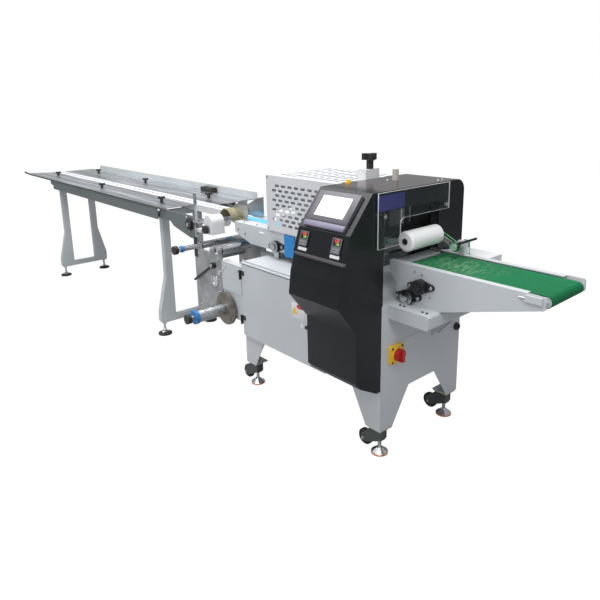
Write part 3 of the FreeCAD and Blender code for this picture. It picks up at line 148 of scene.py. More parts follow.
finish("channel_steel", (0.84, 0.84, 0.86), (0.74, 0.74, 0.76), 0.30, 0.10, (2, 40, 40), metal=0.15)
finish("bright_steel", (0.76, 0.76, 0.77), (0.62, 0.62, 0.63), 0.13, 0.10, (20, 20, 20), metal=1.0)
finish("film_plate_paint", (0.44, 0.45, 0.45), (0.24, 0.25, 0.25), 0.34, 0.12, (11, 11, 11), metal=0.3)
finish("gloss_black", (0.010, 0.011, 0.012), (0.006, 0.007, 0.008), 0.24, 0.04, (4, 4, 4), shine=0.35)
finish("hood_black", (0.060, 0.048, 0.046), (0.034, 0.028, 0.028), 0.20, 0.06, (4, 4, 4))
finish("black_plastic", (0.020, 0.020, 0.022), (0.012, 0.012, 0.013), 0.36, 0.10, (12, 12, 12))
finish("black_rubber", (0.024, 0.024, 0.024), (0.014, 0.014, 0.014), 0.62, 0.14, (14, 14, 14))
finish("socket_dark", (0.030, 0.030, 0.032), (0.018, 0.018, 0.020), 0.40)
finish("bracket_grey", (0.085, 0.098, 0.094), (0.060, 0.070, 0.067), 0.36)
finish("ledge_grey", (0.150, 0.140, 0.150), (0.110, 0.103, 0.110), 0.30, metal=0.4)
finish("blue_belt", (0.16, 0.50, 0.78), (0.12, 0.42, 0.70), 0.50, shine=0.2)
finish("blue_paint", (0.030, 0.250, 0.600), (0.024, 0.210, 0.530), 0.36, shine=0.3)
finish("violet_plastic", (0.050, 0.050, 0.230), (0.034, 0.034, 0.160), 0.36, shine=0.3)
finish("green_plastic", (0.30, 0.50, 0.36), (0.24, 0.42, 0.30), 0.40)
finish("pale_green_plastic", (0.66, 0.76, 0.70), (0.60, 0.70, 0.64), 0.40)
finish("cord_green", (0.080, 0.520, 0.150), (0.060, 0.430, 0.115), 0.42)
finish("orange_ring", (0.80, 0.26, 0.06), (0.66, 0.19, 0.04), 0.40)
finish("zinc_yellow", (0.70, 0.58, 0.28), (0.52, 0.40, 0.16), 0.28, 0.10, (30, 30, 30), metal=0.8)
finish("yellow_plastic", (0.86, 0.56, 0.05), (0.80, 0.50, 0.04), 0.40)
finish("red_plastic", (0.50, 0.018, 0.014), (0.40, 0.012, 0.010), 0.34)
finish("blue_collar", (0.03, 0.22, 0.56), (0.02, 0.17, 0.47), 0.34)
finish("beige_plastic", (0.52, 0.50, 0.44), (0.47, 0.45, 0.39), 0.44)
finish("screen_grey", (0.105, 0.098, 0.118), (0.088, 0.082, 0.100), 0.36)
finish("lavender_plastic", (0.175, 0.165, 0.240), (0.150, 0.142, 0.210), 0.36)
finish("label_white", (0.74, 0.74, 0.74), (0.68, 0.68, 0.68), 0.50)
finish("label_grey", (0.34, 0.34, 0.36), (0.28, 0.28, 0.30), 0.50)
finish("key_grey", (0.16, 0.16, 0.19), (0.12, 0.12, 0.15), 0.40)
finish("olive_paint", (0.30, 0.27, 0.16), (0.23, 0.21, 0.12), 0.38)
finish("reel_brown", (0.30, 0.27, 0.23), (0.13, 0.12, 0.11), 0.32, 0.14, (26, 26, 26), metal=0.7)
print("finishes made:", len(finishes))


# %% [markdown]
# The touch screen and the number displays give light of their own.  A lamp behind each one
# would be slow to render, so the finish itself glows faintly.

# %% Lit finishes
def lit(name, colour, strength):
    material = finish(name, colour, colour, 0.20, 0.03)
    shader = material.node_tree.nodes["Principled BSDF"]
    shader.inputs["Emission Color"].default_value = (*colour, 1)
    shader.inputs["Emission Strength"].default_value = strength
    print("lit finish:", name)


lit("screen_white", (0.90, 0.91, 0.91), 0.55)
lit("red_digits", (0.95, 0.10, 0.06), 0.9)
lit("green_digits", (0.45, 0.75, 0.12), 0.7)


# %% [markdown]
# The discharge belt is rubbed pale where the products land, just past the press roller.  Wear
# can be painted on by hand, but the distance from one place, multiplied by streaky noise, gives
# the same fading patch and is moved or widened with one value.

# %% Worn belt
def make_wear():
    """Colour of a surface that is worn in patches, strongest round one place."""
    group = bpy.data.node_groups.new("wear", "ShaderNodeTree")
    face = group.interface
    for name, kind in (("Colour", "NodeSocketColor"), ("Worn", "NodeSocketColor"),
                       ("Place", "NodeSocketVector"), ("Reach", "NodeSocketFloat")):
        face.new_socket(name=name, in_out="INPUT", socket_type=kind)
    face.new_socket(name="Colour", in_out="OUTPUT", socket_type="NodeSocketColor")
    make, join = group.nodes.new, group.links.new
    inp, out, here = make("NodeGroupInput"), make("NodeGroupOutput"), make("ShaderNodeTexCoord")
    away = make("ShaderNodeVectorMath")
    away.operation = "DISTANCE"
    join(here.outputs["Object"], away.inputs[0])
    join(inp.outputs["Place"], away.inputs[1])
    near = make("ShaderNodeMapRange")
    near.inputs["To Min"].default_value = 1.0
    near.inputs["To Max"].default_value = 0.0
    join(away.outputs["Value"], near.inputs["Value"])
    join(inp.outputs["Reach"], near.inputs["From Max"])
    noise = make("ShaderNodeTexNoise")
    noise.inputs["Scale"].default_value = 1.0
    noise.inputs["Detail"].default_value = 10.0
    noise.inputs["Roughness"].default_value = 0.65
    streaks = make("ShaderNodeMapping")
    streaks.inputs["Rotation"].default_value = (0, 0, math.radians(35))
    streaks.inputs["Scale"].default_value = (90, 28, 30)
    join(here.outputs["Object"], streaks.inputs["Vector"])
    join(streaks.outputs["Vector"], noise.inputs["Vector"])
    spots = make("ShaderNodeMapRange")
    spots.inputs["From Min"].default_value = 0.44
    spots.inputs["From Max"].default_value = 0.80
    join(noise.outputs["Fac"], spots.inputs["Value"])
    both = make("ShaderNodeMath")
    both.operation = "MULTIPLY"
    join(near.outputs["Result"], both.inputs[0])
    join(spots.outputs["Result"], both.inputs[1])
    mix = make("ShaderNodeMix")
    mix.data_type = "RGBA"
    join(both.outputs["Value"], mix.inputs["Factor"])
    join(inp.outputs["Colour"], mix.inputs["A"])
    join(inp.outputs["Worn"], mix.inputs["B"])
    join(mix.outputs["Result"], out.inputs["Colour"])
    return group


belt = finish("green_belt", (0.008, 0.155, 0.060), (0.006, 0.125, 0.046), 0.60, 0.16,
              (5, 14, 5), shine=0.15)
tree = belt.node_tree
wear = tree.nodes.new("ShaderNodeGroup")
wear.node_tree = make_wear()
wear.inputs["Worn"].default_value = (0.30, 0.42, 0.28, 1)
BELT_TOP = 856
wear.inputs["Place"].default_value = at(170, -40, BELT_TOP)
wear.inputs["Reach"].default_value = 0.24
tree.links.new(tree.nodes["Group"].outputs["Colour"], wear.inputs["Colour"])
tree.links.new(wear.outputs["Colour"], tree.nodes["Principled BSDF"].inputs["Base Color"])
print("belt worn")

# %% [markdown]
# The guard is thick clear sheet with bright sawn edges.  Real refraction shows little at this
# size and brings noise, so its faces are almost transparent, and its edges take a pale finish.

# %% Clear sheet
clear = bpy.data.materials.new("clear_sheet")
clear.use_nodes = True
clear_shader = clear.node_tree.nodes["Principled BSDF"]
clear_shader.inputs["Base Color"].default_value = (0.10, 0.13, 0.13, 1)
clear_shader.inputs["Roughness"].default_value = 0.04
clear_shader.inputs["Specular IOR Level"].default_value = 0.3
clear_shader.inputs["Alpha"].default_value = 0.07
finishes["clear_sheet"] = clear
finish("sheet_edge", (0.80, 0.84, 0.84), (0.74, 0.78, 0.78), 0.20)
print("all finishes:", len(finishes))

# %% [markdown]
# ## Painting the construction pieces
# The construction pieces arrive without colour.  A piece takes one finish, and any of its faces
# that pass a test of place and direction take another one, so nothing has to be cut apart for
# its colours.

# %% The painting helper
def paint(name, main, *extras):
    """extras are pairs: a finish, and a test of a face's centre in drawing millimetres."""
    piece = nodes[name]
    piece.data.materials.clear()
    for look in [main] + [extra for extra, test in extras]:
        piece.data.materials.append(finishes[look])
    for face in piece.data.polygons:
        c = face.center
        x, y, z = (c.x - FACE_X) * 1000, (c.y - MIDDLE_Y) * 1000, c.z * 1000
        face.material_index = 0
        for number, (extra, test) in enumerate(extras, start=1):
            if test(x, y, z, face.normal):
                face.material_index = number


print("painting helper ready")

# %% [markdown]
# The base, its legs and its doors are one pale grey powder coat.  The door's latch and knobs are
# part of the same solid as the door, so they are found by their place.  The castors have grey
# forks on a zinc-yellow plate, and the levelling pads stand on an orange ring.

# %% Paint the base
for name in ("base_housing", "base_legs", "cabinet_shell", "bed_plate", "feed_sides",
             "discharge_bed"):
    paint(name, "base_paint")
paint("seal_housing", "white_paint")
paint("cabinet_door", "base_paint",
      ("bright_steel", lambda x, y, z, n: x > -450 and y < -296 and z > 495),
      ("black_plastic", lambda x, y, z, n: (x < -955 or y < -296) and (x < -900 or z < 496)))
paint("hinge_brackets", "base_paint", ("black_plastic", lambda x, y, z, n: x < -950 and z < 690))
paint("castor_brackets", "bracket_grey", ("zinc_yellow", lambda x, y, z, n: z > 122.5))
for k in range(1, 5):
    paint("castor_wheel_%d" % k, "black_rubber")
paint("levelling_pads", "bright_steel", ("orange_ring", lambda x, y, z, n: z < 7.2))
paint("switch_plate", "yellow_plastic")
paint("switch_knob", "red_plastic")
print("base painted")

# %% [markdown]
# The infeed table is dark grey plate on pale flared legs, under long shelves of bright sheet.
# The film unwind is a mottled plate with steel shafts, whose stop collars are blue and whose
# knobs are black.

# %% Paint the infeed and the film unwind
paint("infeed_side_plates", "table_paint")
paint("infeed_leg_left", "leg_paint")
paint("infeed_leg_right", "leg_paint")
paint("infeed_feet", "bright_steel", ("black_rubber", lambda x, y, z, n: z < 20))
paint("infeed_shelves", "shelf_steel",
      ("bracket_grey", lambda x, y, z, n: y < -299 and n.z < 0.5),
      ("leg_paint", lambda x, y, z, n: z > 884))
paint("infeed_channel", "channel_steel")
paint("infeed_chain", "bright_steel")
paint("infeed_drive_plates", "table_paint", ("bright_steel", lambda x, y, z, n: x > -1429))
paint("transfer_cover", "white_paint")
paint("transfer_guides", "brushed_sheet", ("olive_paint", lambda x, y, z, n: y < -71))
paint("clamp_knobs", "black_plastic")
paint("film_frame", "film_plate_paint", ("base_paint", lambda x, y, z, n: x > -1163))
paint("tie_strap", "black_plastic")
paint("reel_disc", "reel_brown")
paint("reel_shaft", "brushed_sheet", ("blue_collar", lambda x, y, z, n: -504 < y < -481),
      ("black_plastic", lambda x, y, z, n: y < -520))
paint("idler_roller_1", "bright_steel", ("blue_collar", lambda x, y, z, n: -407 < y < -387),
      ("black_plastic", lambda x, y, z, n: y < -427))
paint("idler_roller_2", "bright_steel")
paint("idler_roller_3", "bright_steel")
paint("brake_lever", "black_plastic")
print("infeed painted")

# %% [markdown]
# A blue belt feeds the products through formed steel under the slotted cover.  Its white powder coat
# is painted a darker grey, a little paler than the base, as painted shade for its shaded front face.

# %% Paint the forming section
paint("feed_belt", "blue_belt")
paint("feed_frame", "brushed_sheet")
paint("blue_panel", "blue_paint")
paint("film_feed_wheel", "green_plastic",
      ("pale_green_plastic", lambda x, y, z, n: math.hypot(x + 645, z - 790) < 40))
paint("forming_unit", "brushed_sheet")
# The whole cover takes that grey, which is painted shade over its white coat.
for name in ("cover_front", "cover_top", "cover_walls"):
    paint(name, "shaded_cover_white")
print("forming section painted")

# %% [markdown]
# The console is glossy black under a grey ledge, and the hood a softer brown-black.  The clear
# guard shows its edges, which are the faces that don't look along X.

# %% Paint the console and the hood
paint("console", "gloss_black", ("ledge_grey", lambda x, y, z, n: 911 < z < 922 and y < -494))
paint("console_instruments", "screen_grey", ("socket_dark", lambda x, y, z, n: z < 1014))
paint("hood_skin", "hood_black")
paint("hood_end_plate", "gloss_black")
paint("hood_fittings", "bright_steel", ("yellow_plastic", lambda x, y, z, n: z > 1164 and y < -150),
      ("beige_plastic", lambda x, y, z, n: z > 1164 and y > -30))
paint("servo_cover", "violet_plastic")
paint("jaw_frame", "socket_dark")
paint("seal_jaws", "bright_steel")
paint("pressure_knob", "black_plastic")
paint("seal_guard", "clear_sheet", ("sheet_edge", lambda x, y, z, n: abs(n.x) < 0.5))
print("hood painted")

# %% [markdown]
# The discharge conveyor is the base's grey again.  Its far edge strip is green, the tension
# screw at its nose is steel, and the press roller is white.

# %% Paint the discharge end
paint("discharge_sides", "base_paint",
      ("green_plastic", lambda x, y, z, n: y < 60 and z > 864),
      ("bright_steel", lambda x, y, z, n: y < -166 and x < 539))
paint("discharge_belt", "green_belt")
paint("discharge_shelf", "base_paint", ("white_paint", lambda x, y, z, n: y > 140))
paint("bearing_units", "black_plastic",
      ("bright_steel", lambda x, y, z, n: n.y < -0.9 and (y < -188 if x > 0 else -155 < y < -148)))
paint("press_roller", "roller_white")
paint("roller_arm", "brushed_sheet", ("black_plastic", lambda x, y, z, n: x > 112))
print("painted pieces:", sum(1 for n in nodes if nodes[n].data.materials))

# %% [markdown]
# The round pieces arrive as many flat faces.  Shading them smooth up to a limit angle rounds the
# rollers, knobs and wheels and keeps folded edges crisp.  More faces would only make them heavier.

# %% Smooth the round faces
CRISP_ANGLE = math.radians(32)
for piece in nodes.values():
    bpy.ops.object.select_all(action="DESELECT")
    piece.select_set(True)
    bpy.context.view_layer.objects.active = piece
    bpy.ops.object.shade_smooth_by_angle(angle=CRISP_ANGLE)
print("round faces smoothed")

# %% [markdown]
# ## Small pieces
# Screws, displays, labels, pulleys and round belts are too small for the construction model.
# Each is modelled once at the origin, one unit in size or in metres, then set in its place.  The
# operators work on whatever is selected, so the helpers clear the selection first.

# %% Helpers for shaping
new_pieces = []


def begin(add, **options):
    """Add a primitive with nothing else selected."""
    bpy.ops.object.select_all(action="DESELECT")
    add(**options)
    bpy.ops.object.transform_apply(location=True, rotation=True, scale=True)
    return bpy.context.object


def pick_faces(piece, test):
    """Leave edit mode on, with only the faces selected whose centre and normal pass the test."""
    bpy.ops.object.mode_set(mode="EDIT")
    bpy.ops.mesh.select_mode(type="FACE")
    bpy.ops.mesh.select_all(action="DESELECT")
    bpy.ops.object.mode_set(mode="OBJECT")
    for face in piece.data.polygons:
        face.select = test(face.center, face.normal)
    bpy.ops.object.mode_set(mode="EDIT")


def leave_edit():
    bpy.ops.mesh.select_all(action="SELECT")
    bpy.ops.mesh.normals_make_consistent(inside=False)
    bpy.ops.object.mode_set(mode="OBJECT")


print("shaping helpers ready")

# %% [markdown]
# A small piece sits on a surface, so its place is given by a point and by the way the surface
# faces.  The place goes into the mesh itself, and the piece then follows the body that carries it.

# %% Helpers for placing
def facing(point, outward, up=(0, 0, 1)):
    """A place on a surface: local Z points out of it and local Y points up it."""
    z = Vector(outward).normalized()
    x = Vector(up).cross(z).normalized()
    return Matrix.Translation(point) @ Matrix((x, z.cross(x), z)).transposed().to_4x4()


def settle(piece, name, where, look, body="frame", size=1.0):
    """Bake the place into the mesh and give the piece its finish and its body."""
    piece.name = name
    bpy.ops.object.select_all(action="DESELECT")
    piece.select_set(True)
    bpy.context.view_layer.objects.active = piece
    piece.matrix_world = where @ Matrix.Scale(size, 4)
    bpy.ops.object.transform_apply(location=True, rotation=True, scale=True)
    piece.data.materials.clear()
    piece.data.materials.append(finishes[look])
    bpy.ops.object.shade_smooth_by_angle(angle=math.radians(35))
    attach(piece, body)
    new_pieces.append(name)
    return piece


def twin(model):
    other = model.copy()
    other.data = model.data.copy()
    bpy.context.collection.objects.link(other)
    return other


print("placing helpers ready")

# %% [markdown]
# The screws on the plates are socket-head screws.  A cylinder is the start: its rim is bevelled,
# and an inset of its top is pushed down to make the socket.

# %% A screw
def model_screw():
    """Socket-head screw of radius one, its foot at the origin."""
    head = begin(bpy.ops.mesh.primitive_cylinder_add, vertices=18, radius=1, depth=0.8,
                 location=(0, 0, 0.4))
    pick_faces(head, lambda c, n: n.z > 0.9)
    bpy.ops.mesh.bevel(offset=0.16, segments=2, affect="EDGES")
    leave_edit()
    pick_faces(head, lambda c, n: n.z > 0.9 and c.z > 0.79)
    bpy.ops.mesh.inset(thickness=0.36)
    bpy.ops.mesh.extrude_region_move(TRANSFORM_OT_translate={"value": (0, 0, -0.45)})
    leave_edit()
    return head


screw = model_screw()
FRONT, END, TOP = (0, -1, 0), (1, 0, 0), (0, 0, 1)
print("screw faces:", len(screw.data.polygons))

# %% [markdown]
# A shallow ring clamps a shaft to its plate.  It is made like the screw, with a wide sunk middle.

# %% A clamp ring
def model_ring():
    """Shallow clamp ring of radius one with a sunk middle."""
    ring = begin(bpy.ops.mesh.primitive_cylinder_add, vertices=36, radius=1, depth=0.24,
                 location=(0, 0, 0.12))
    pick_faces(ring, lambda c, n: n.z > 0.9)
    bpy.ops.mesh.bevel(offset=0.07, segments=2, affect="EDGES")
    leave_edit()
    pick_faces(ring, lambda c, n: n.z > 0.9 and c.z > 0.23)
    bpy.ops.mesh.inset(thickness=0.24)
    bpy.ops.mesh.extrude_region_move(TRANSFORM_OT_translate={"value": (0, 0, -0.14)})
    leave_edit()
    return ring


ring = model_ring()
print("ring faces:", len(ring.data.polygons))

# %% [markdown]
# The cords of the press roller run in grooved pulleys.  The groove could be turned from a
# profile, but shrinking a band round a short cylinder is quicker and as round.

# %% A pulley
def model_pulley():
    """Grooved pulley of radius one, its middle plane at the origin."""
    wheel = begin(bpy.ops.mesh.primitive_cylinder_add, vertices=40, radius=1, depth=0.32)
    pick_faces(wheel, lambda c, n: abs(n.z) < 0.3)
    bpy.ops.mesh.inset(thickness=0.07)
    bpy.ops.transform.shrink_fatten(value=-0.12)
    leave_edit()
    pick_faces(wheel, lambda c, n: abs(n.z) > 0.9)
    bpy.ops.mesh.inset(thickness=0.18, use_individual=True)
    bpy.ops.mesh.inset(thickness=0.10, depth=-0.06, use_individual=True)
    leave_edit()
    return wheel


pulley = model_pulley()
print("pulley faces:", len(pulley.data.polygons))

# %% [markdown]
# Displays, keys, labels and plates are thin plates with softened edges.  Some have their face
# sunk inside a border, which is an inset that is pushed in.

# %% Plates
def slab(width, height, thick, edge):
    """Flat plate with softened edges, its back at the origin."""
    piece = begin(bpy.ops.mesh.primitive_cube_add, size=1, location=(0, 0, 0.5),
                  scale=(width, height, thick))
    bpy.ops.object.mode_set(mode="EDIT")
    bpy.ops.mesh.select_all(action="SELECT")
    bpy.ops.transform.translate(value=(0, 0, (thick - 1) / 2))
    bpy.ops.mesh.bevel(offset=edge, segments=2, affect="EDGES")
    leave_edit()
    return piece


def framed_slab(width, height, thick, edge, border, sink):
    """Plate whose face is sunk inside a border."""
    piece = slab(width, height, thick, edge)
    pick_faces(piece, lambda c, n: n.z > 0.99)
    bpy.ops.mesh.inset(thickness=border)
    bpy.ops.mesh.extrude_region_move(TRANSFORM_OT_translate={"value": (0, 0, -sink)})
    leave_edit()
    return piece


print("plate helpers ready")

# %% [markdown]
# A round belt is a loop of green cord over two pulleys.  A ring is stretched by moving one half
# of it along X, which leaves two straight runs and two round ends.

# %% A round belt
def round_belt(radius, cord, reach):
    """Loop of round cord over two pulleys, the second one at reach along X."""
    loop = begin(bpy.ops.mesh.primitive_torus_add, major_radius=radius, minor_radius=cord,
                 major_segments=48, minor_segments=10)
    bpy.ops.object.mode_set(mode="EDIT")
    bpy.ops.mesh.select_mode(type="VERT")
    bpy.ops.mesh.select_all(action="DESELECT")
    bpy.ops.object.mode_set(mode="OBJECT")
    for vertex in loop.data.vertices:
        vertex.select = vertex.co.x > radius * 0.001
    bpy.ops.object.mode_set(mode="EDIT")
    bpy.ops.transform.translate(value=(reach, 0, 0))
    leave_edit()
    return loop


print("belt helper ready")

# %% [markdown]
# The numbers on the displays are plain text, turned into a thin mesh before it is placed.

# %% Numbers
def digits(text, height):
    """Number on a display, as a thin mesh."""
    bpy.ops.object.select_all(action="DESELECT")
    bpy.ops.object.text_add()
    piece = bpy.context.object
    piece.data.body = text
    piece.data.size = height
    piece.data.extrude = 0.0002
    piece.data.align_x = "CENTER"
    piece.data.align_y = "CENTER"
    bpy.ops.object.convert(target="MESH")
    bpy.ops.object.mode_set(mode="EDIT")
    bpy.ops.mesh.select_all(action="SELECT")
    bpy.ops.mesh.remove_doubles(threshold=0.00001)
    leave_edit()
    return bpy.context.object


print("number helper ready")

# %% [markdown]
# Bright screws hold the bearings, the film plate and the hood, and dark ones the sheets.  Each is
# a copy of the one screw with its own mesh, sized and turned to stand out of its surface.

# %% Screws
def screws(name, look, radius, outward, places, body="frame"):
    """Copies of the screw; radius and places are in drawing millimetres."""
    up = (0, 1, 0) if outward == TOP else (0, 0, 1)
    for k, place in enumerate(places, start=1):
        settle(twin(screw), "%s_%d" % (name, k), facing(at(*place), outward, up), look, body,
               radius / 1000)


FILM_FRONT, FEED_FRONT, COVER_FRONT = -283, -125, -133
HOOD_TOP, SHELF_TOP, SWITCH_FACE = 1165, 697, (16, -195, 471)
BEARINGS = ((105.0, -165.0, 783.0), (45.0, -165.0, 728.5), (-865.0, -125.0, 769.0))
EAR, LEAN = 52.0, math.radians(6)
ear_places = [(x + side * EAR * math.cos(LEAN), y - 9, z + side * EAR * math.sin(LEAN))
              for x, y, z in BEARINGS for side in (-1, 1)]
screws("bearing_screw", "bright_steel", 8.0, FRONT, ear_places)
screws("side_screw", "bright_steel", 4.5, FRONT,
       [(x, -165, z) for x, z in ((72, 838), (108, 832), (150, 745))])
screws("shelf_screw", "socket_dark", 5.0, TOP, [(x, -212, SHELF_TOP) for x in (38, 58, 150, 170)])
screws("console_screw", "socket_dark", 4.5, END, [(0, -292, z) for z in (1040, 860, 680, 480)])
screws("switch_screw", "socket_dark", 4.5, END,
       [(SWITCH_FACE[0], SWITCH_FACE[1] + dy, SWITCH_FACE[2] + dz)
        for dy in (-31, 31) for dz in (-31, 31)])
screws("film_screw", "bright_steel", 7.0, FRONT,
       [(x, FILM_FRONT, z) for x, z in ((-1400, 660), (-1195, 660), (-1186, 512), (-1400, 345),
                                        (-1195, 470), (-1262, 532), (-1214, 532))])
screws("column_screw", "bright_steel", 6.0, FRONT,
       [(-1130, FILM_FRONT, 640), (-1010, FILM_FRONT, 640), (-1130, -279, 460)])
screws("feed_screw", "socket_dark", 4.5, FRONT,
       [(x, FEED_FRONT, z) for x, z in ((-1215, 806), (-1150, 790), (-620, 800))])
screws("deck_screw", "socket_dark", 4.0, TOP, [(x, -100, 848) for x in (-1190, -1070, -960)])
screws("hood_screw", "bright_steel", 6.0, TOP,
       [(x, y, HOOD_TOP) for x, y in ((-205, 20), (-205, -20), (-40, 120), (-40, 150))])
FLANGE = 48
screws("drive_screw", "bright_steel", 6.0, FRONT,
       [(-1480 + FLANGE * math.cos(a), FILM_FRONT, 826 + FLANGE * math.sin(a))
        for a in (math.radians(20), math.radians(140), math.radians(260))])
screws("cover_screw", "socket_dark", 3.5, FRONT,
       [(x, COVER_FRONT, z) for x in (-923, -362) for z in (862, 1130)], "cover")
WHEEL_AXLE, AXLE_OUT = 43.0, 21.0
castor_places = [(x - 80, y - AXLE_OUT, WHEEL_AXLE) for x in (-926, -37) for y in (-237, 237)]
screws("axle_screw", "bright_steel", 7.0, FRONT, castor_places)
print("screws set:", len(new_pieces))

# %% [markdown]
# The film plate carries clamp rings below its lever.  They are copies of the one ring.

# %% Clamp rings
for k, (x, z, radius) in enumerate(((-1238, 530, 34), (-1195, 585, 15), (-1160, 610, 13)), start=1):
    settle(twin(ring), "clamp_ring_%d" % k, facing(at(x, FILM_FRONT, z), FRONT), "bright_steel",
           size=radius / 1000)
print("rings set")

# %% [markdown]
# ## Console face
# The screen lies on the upper slope and the two controllers on the facet below it.  Both faces
# lean, so a place on them is given by how far it lies down the face and how far it stands out.
# The white glass, the band and the label strips stay bare.

# %% Screen
def on_face(x, corner, fall, down, lift):
    """Place on a leaning face: millimetres down from its top corner and out of it.

    corner is the top corner's Y and Z, and fall is the slope's share of Y and of Z.
    """
    out, drop = fall
    point = at(x, corner[0] - out * down - drop * lift, corner[1] - drop * down + out * lift)
    return facing(point, (0, -drop, out), (0, out, drop))


SLOPE_TOP, SLOPE_FALL = (-342, HOOD_TOP), (0.6386, 0.7695)
FACET_TOP, FACET_FALL = (-464, 1018), (0.3221, 0.9467)


def on_slope(x, down, lift):
    return on_face(x, SLOPE_TOP, SLOPE_FALL, down, lift)


def on_facet(x, down, lift):
    return on_face(x, FACET_TOP, FACET_FALL, down, lift)


settle(framed_slab(0.228, 0.135, 0.003, 0.001, 0.030, 0.0015), "screen_bezel", on_slope(-148, 88, 9),
       "screen_grey")
settle(slab(0.160, 0.092, 0.002, 0.0006), "screen_glass", on_slope(-148, 88, 10.2), "screen_white")
settle(slab(0.224, 0.024, 0.003, 0.001), "screen_band", on_slope(-148, 171, 9), "lavender_plastic")
# A black strip just right of the bezel is painted shade: the dark line along the bezel's right edge.
settle(slab(0.004, 0.120, 0.004, 0.001), "screen_edge_shade", on_slope(-29, 84, 0.5), "black_plastic")
print("screen set")

# %% [markdown]
# Each temperature controller is a small sunk face with a dark display, two rows of numbers, four
# keys and a strip.  Both are alike, so one loop sets their pieces, and the labels stay bare.

# %% Controllers
for k, x in enumerate((-238, -54), start=1):
    settle(framed_slab(0.048, 0.060, 0.002, 0.0006, 0.003, 0.001), "controller_face_%d" % k,
           on_facet(x, 45.3, 4), "key_grey")
    settle(slab(0.038, 0.028, 0.0012, 0.0003), "display_%d" % k, on_facet(x, 32, 4.8), "black_plastic")
    settle(digits("125", 0.017), "red_number_%d" % k, on_facet(x, 26, 6.2), "red_digits")
    settle(digits("120", 0.012), "green_number_%d" % k, on_facet(x + 5, 39, 6.2), "green_digits")
    for n in range(4):
        settle(slab(0.007, 0.005, 0.0016, 0.0005), "key_%d_%d" % (k, n + 1),
               on_facet(x - 15 + 10 * n, 58, 5), "label_grey")
    settle(slab(0.034, 0.004, 0.0012, 0.0003), "name_strip_%d" % k, on_facet(x, 68, 5), "label_grey")
    settle(slab(0.050, 0.013, 0.0012, 0.0004), "label_strip_%d" % k, on_facet(x, 87, 0), "label_white")
print("controllers set")

# %% [markdown]
# The cabinet door carries a bare warning plate and a small blank sticker beside the latch.  They
# ride the door, so they swing with it.

# %% Plates on the door
DOOR_FRONT = -295
PLATE_FRONT = DOOR_FRONT - 1.1
settle(slab(0.092, 0.078, 0.0012, 0.0004), "warning_plate", facing(at(-503, DOOR_FRONT, 545), FRONT),
       "label_white", "cabinet_door")
triangle = begin(bpy.ops.mesh.primitive_cylinder_add, vertices=3, radius=0.023, depth=0.0012,
                 location=(0, 0, 0.0006))
pick_faces(triangle, lambda c, n: n.z > 0.9)
bpy.ops.mesh.inset(thickness=0.003)
bpy.ops.mesh.extrude_region_move(TRANSFORM_OT_translate={"value": (0, 0, -0.0004)})
leave_edit()
settle(triangle, "warning_triangle", facing(at(-527, PLATE_FRONT, 541), FRONT), "yellow_plastic",
       "cabinet_door")
settle(slab(0.050, 0.018, 0.0010, 0.0003), "warning_strip", facing(at(-485, PLATE_FRONT, 570), FRONT),
       "red_plastic", "cabinet_door")
settle(slab(0.022, 0.020, 0.0010, 0.0003), "blank_sticker", facing(at(-475, DOOR_FRONT, 478), FRONT),
       "label_white", "cabinet_door")
print("plates set")

# %% [markdown]
# ## Round belts of the press roller
# A green cord runs beside the arm from its pivot to the roller, and another one comes up from the
# slot in the white drive box.  The first pair of pulleys rides the arm, because cord and arm
# swing together round the pivot.

# %% The cord on the arm
ROLLER, PIVOT = (5.0, 946.0), (97.0, 902.0)
ARM_LINE = math.hypot(ROLLER[0] - PIVOT[0], ROLLER[1] - PIVOT[1])
BELT_Y, FAR_BELT_Y = 76.0, 149.0
for k, (x, z) in enumerate((ROLLER, PIVOT), start=1):
    settle(twin(pulley), "arm_pulley_%d" % k, facing(at(x, BELT_Y, z), FRONT), "green_plastic",
           "roller_arm", 0.0195)
arm_along = Vector((PIVOT[0] - ROLLER[0], 0, PIVOT[1] - ROLLER[1])).normalized()
arm_place = facing(at(ROLLER[0], BELT_Y, ROLLER[1]), FRONT, Vector(FRONT).cross(arm_along))
settle(round_belt(0.0188, 0.0018, ARM_LINE / 1000), "arm_belt", arm_place, "cord_green",
       "roller_arm")
print("cord length over the pulleys:", round(2 * ARM_LINE + 2 * math.pi * 18.8), "mm")

# %% [markdown]
# The second cord turns the pivot's far pulley and goes down into the drive box.  Only what shows
# is needed, so the loop is cut off flat below the box's lid.

# %% The cord from the drive box
settle(twin(pulley), "drive_pulley", facing(at(PIVOT[0], FAR_BELT_Y, PIVOT[1]), FRONT), "green_plastic",
       size=0.019)
shaft = begin(bpy.ops.mesh.primitive_cylinder_add, vertices=24, radius=0.006, depth=0.018,
              location=(0, 0, 0.009))
pick_faces(shaft, lambda c, n: n.z > 0.9)
bpy.ops.mesh.bevel(offset=0.001, segments=2, affect="EDGES")
leave_edit()
settle(shaft, "pulley_shaft", facing(at(PIVOT[0], 137, PIVOT[1]), (0, 1, 0)), "bright_steel")
drive_place = facing(at(PIVOT[0], FAR_BELT_Y, PIVOT[1]), FRONT, (1, 0, 0))
drive_belt = round_belt(0.0183, 0.0018, 0.060)
bpy.ops.object.mode_set(mode="EDIT")
bpy.ops.mesh.select_all(action="SELECT")
bpy.ops.mesh.bisect(plane_co=(0.045, 0, 0), plane_no=(1, 0, 0), use_fill=True, clear_outer=True)
leave_edit()
settle(drive_belt, "drive_belt", drive_place, "cord_green")
settle(framed_slab(0.052, 0.015, 0.0012, 0.0004, 0.002, 0.0008), "belt_slot",
       facing(at(PIVOT[0], FAR_BELT_Y, 857), TOP, (0, 1, 0)), "socket_dark")
settle(twin(ring), "roller_bush", facing(at(ROLLER[0], -150, ROLLER[1]), FRONT), "socket_dark",
       "press_roller", 0.013)
print("belts set")

# %% [markdown]
# Two black caps stand on the discharge face near its far edge.

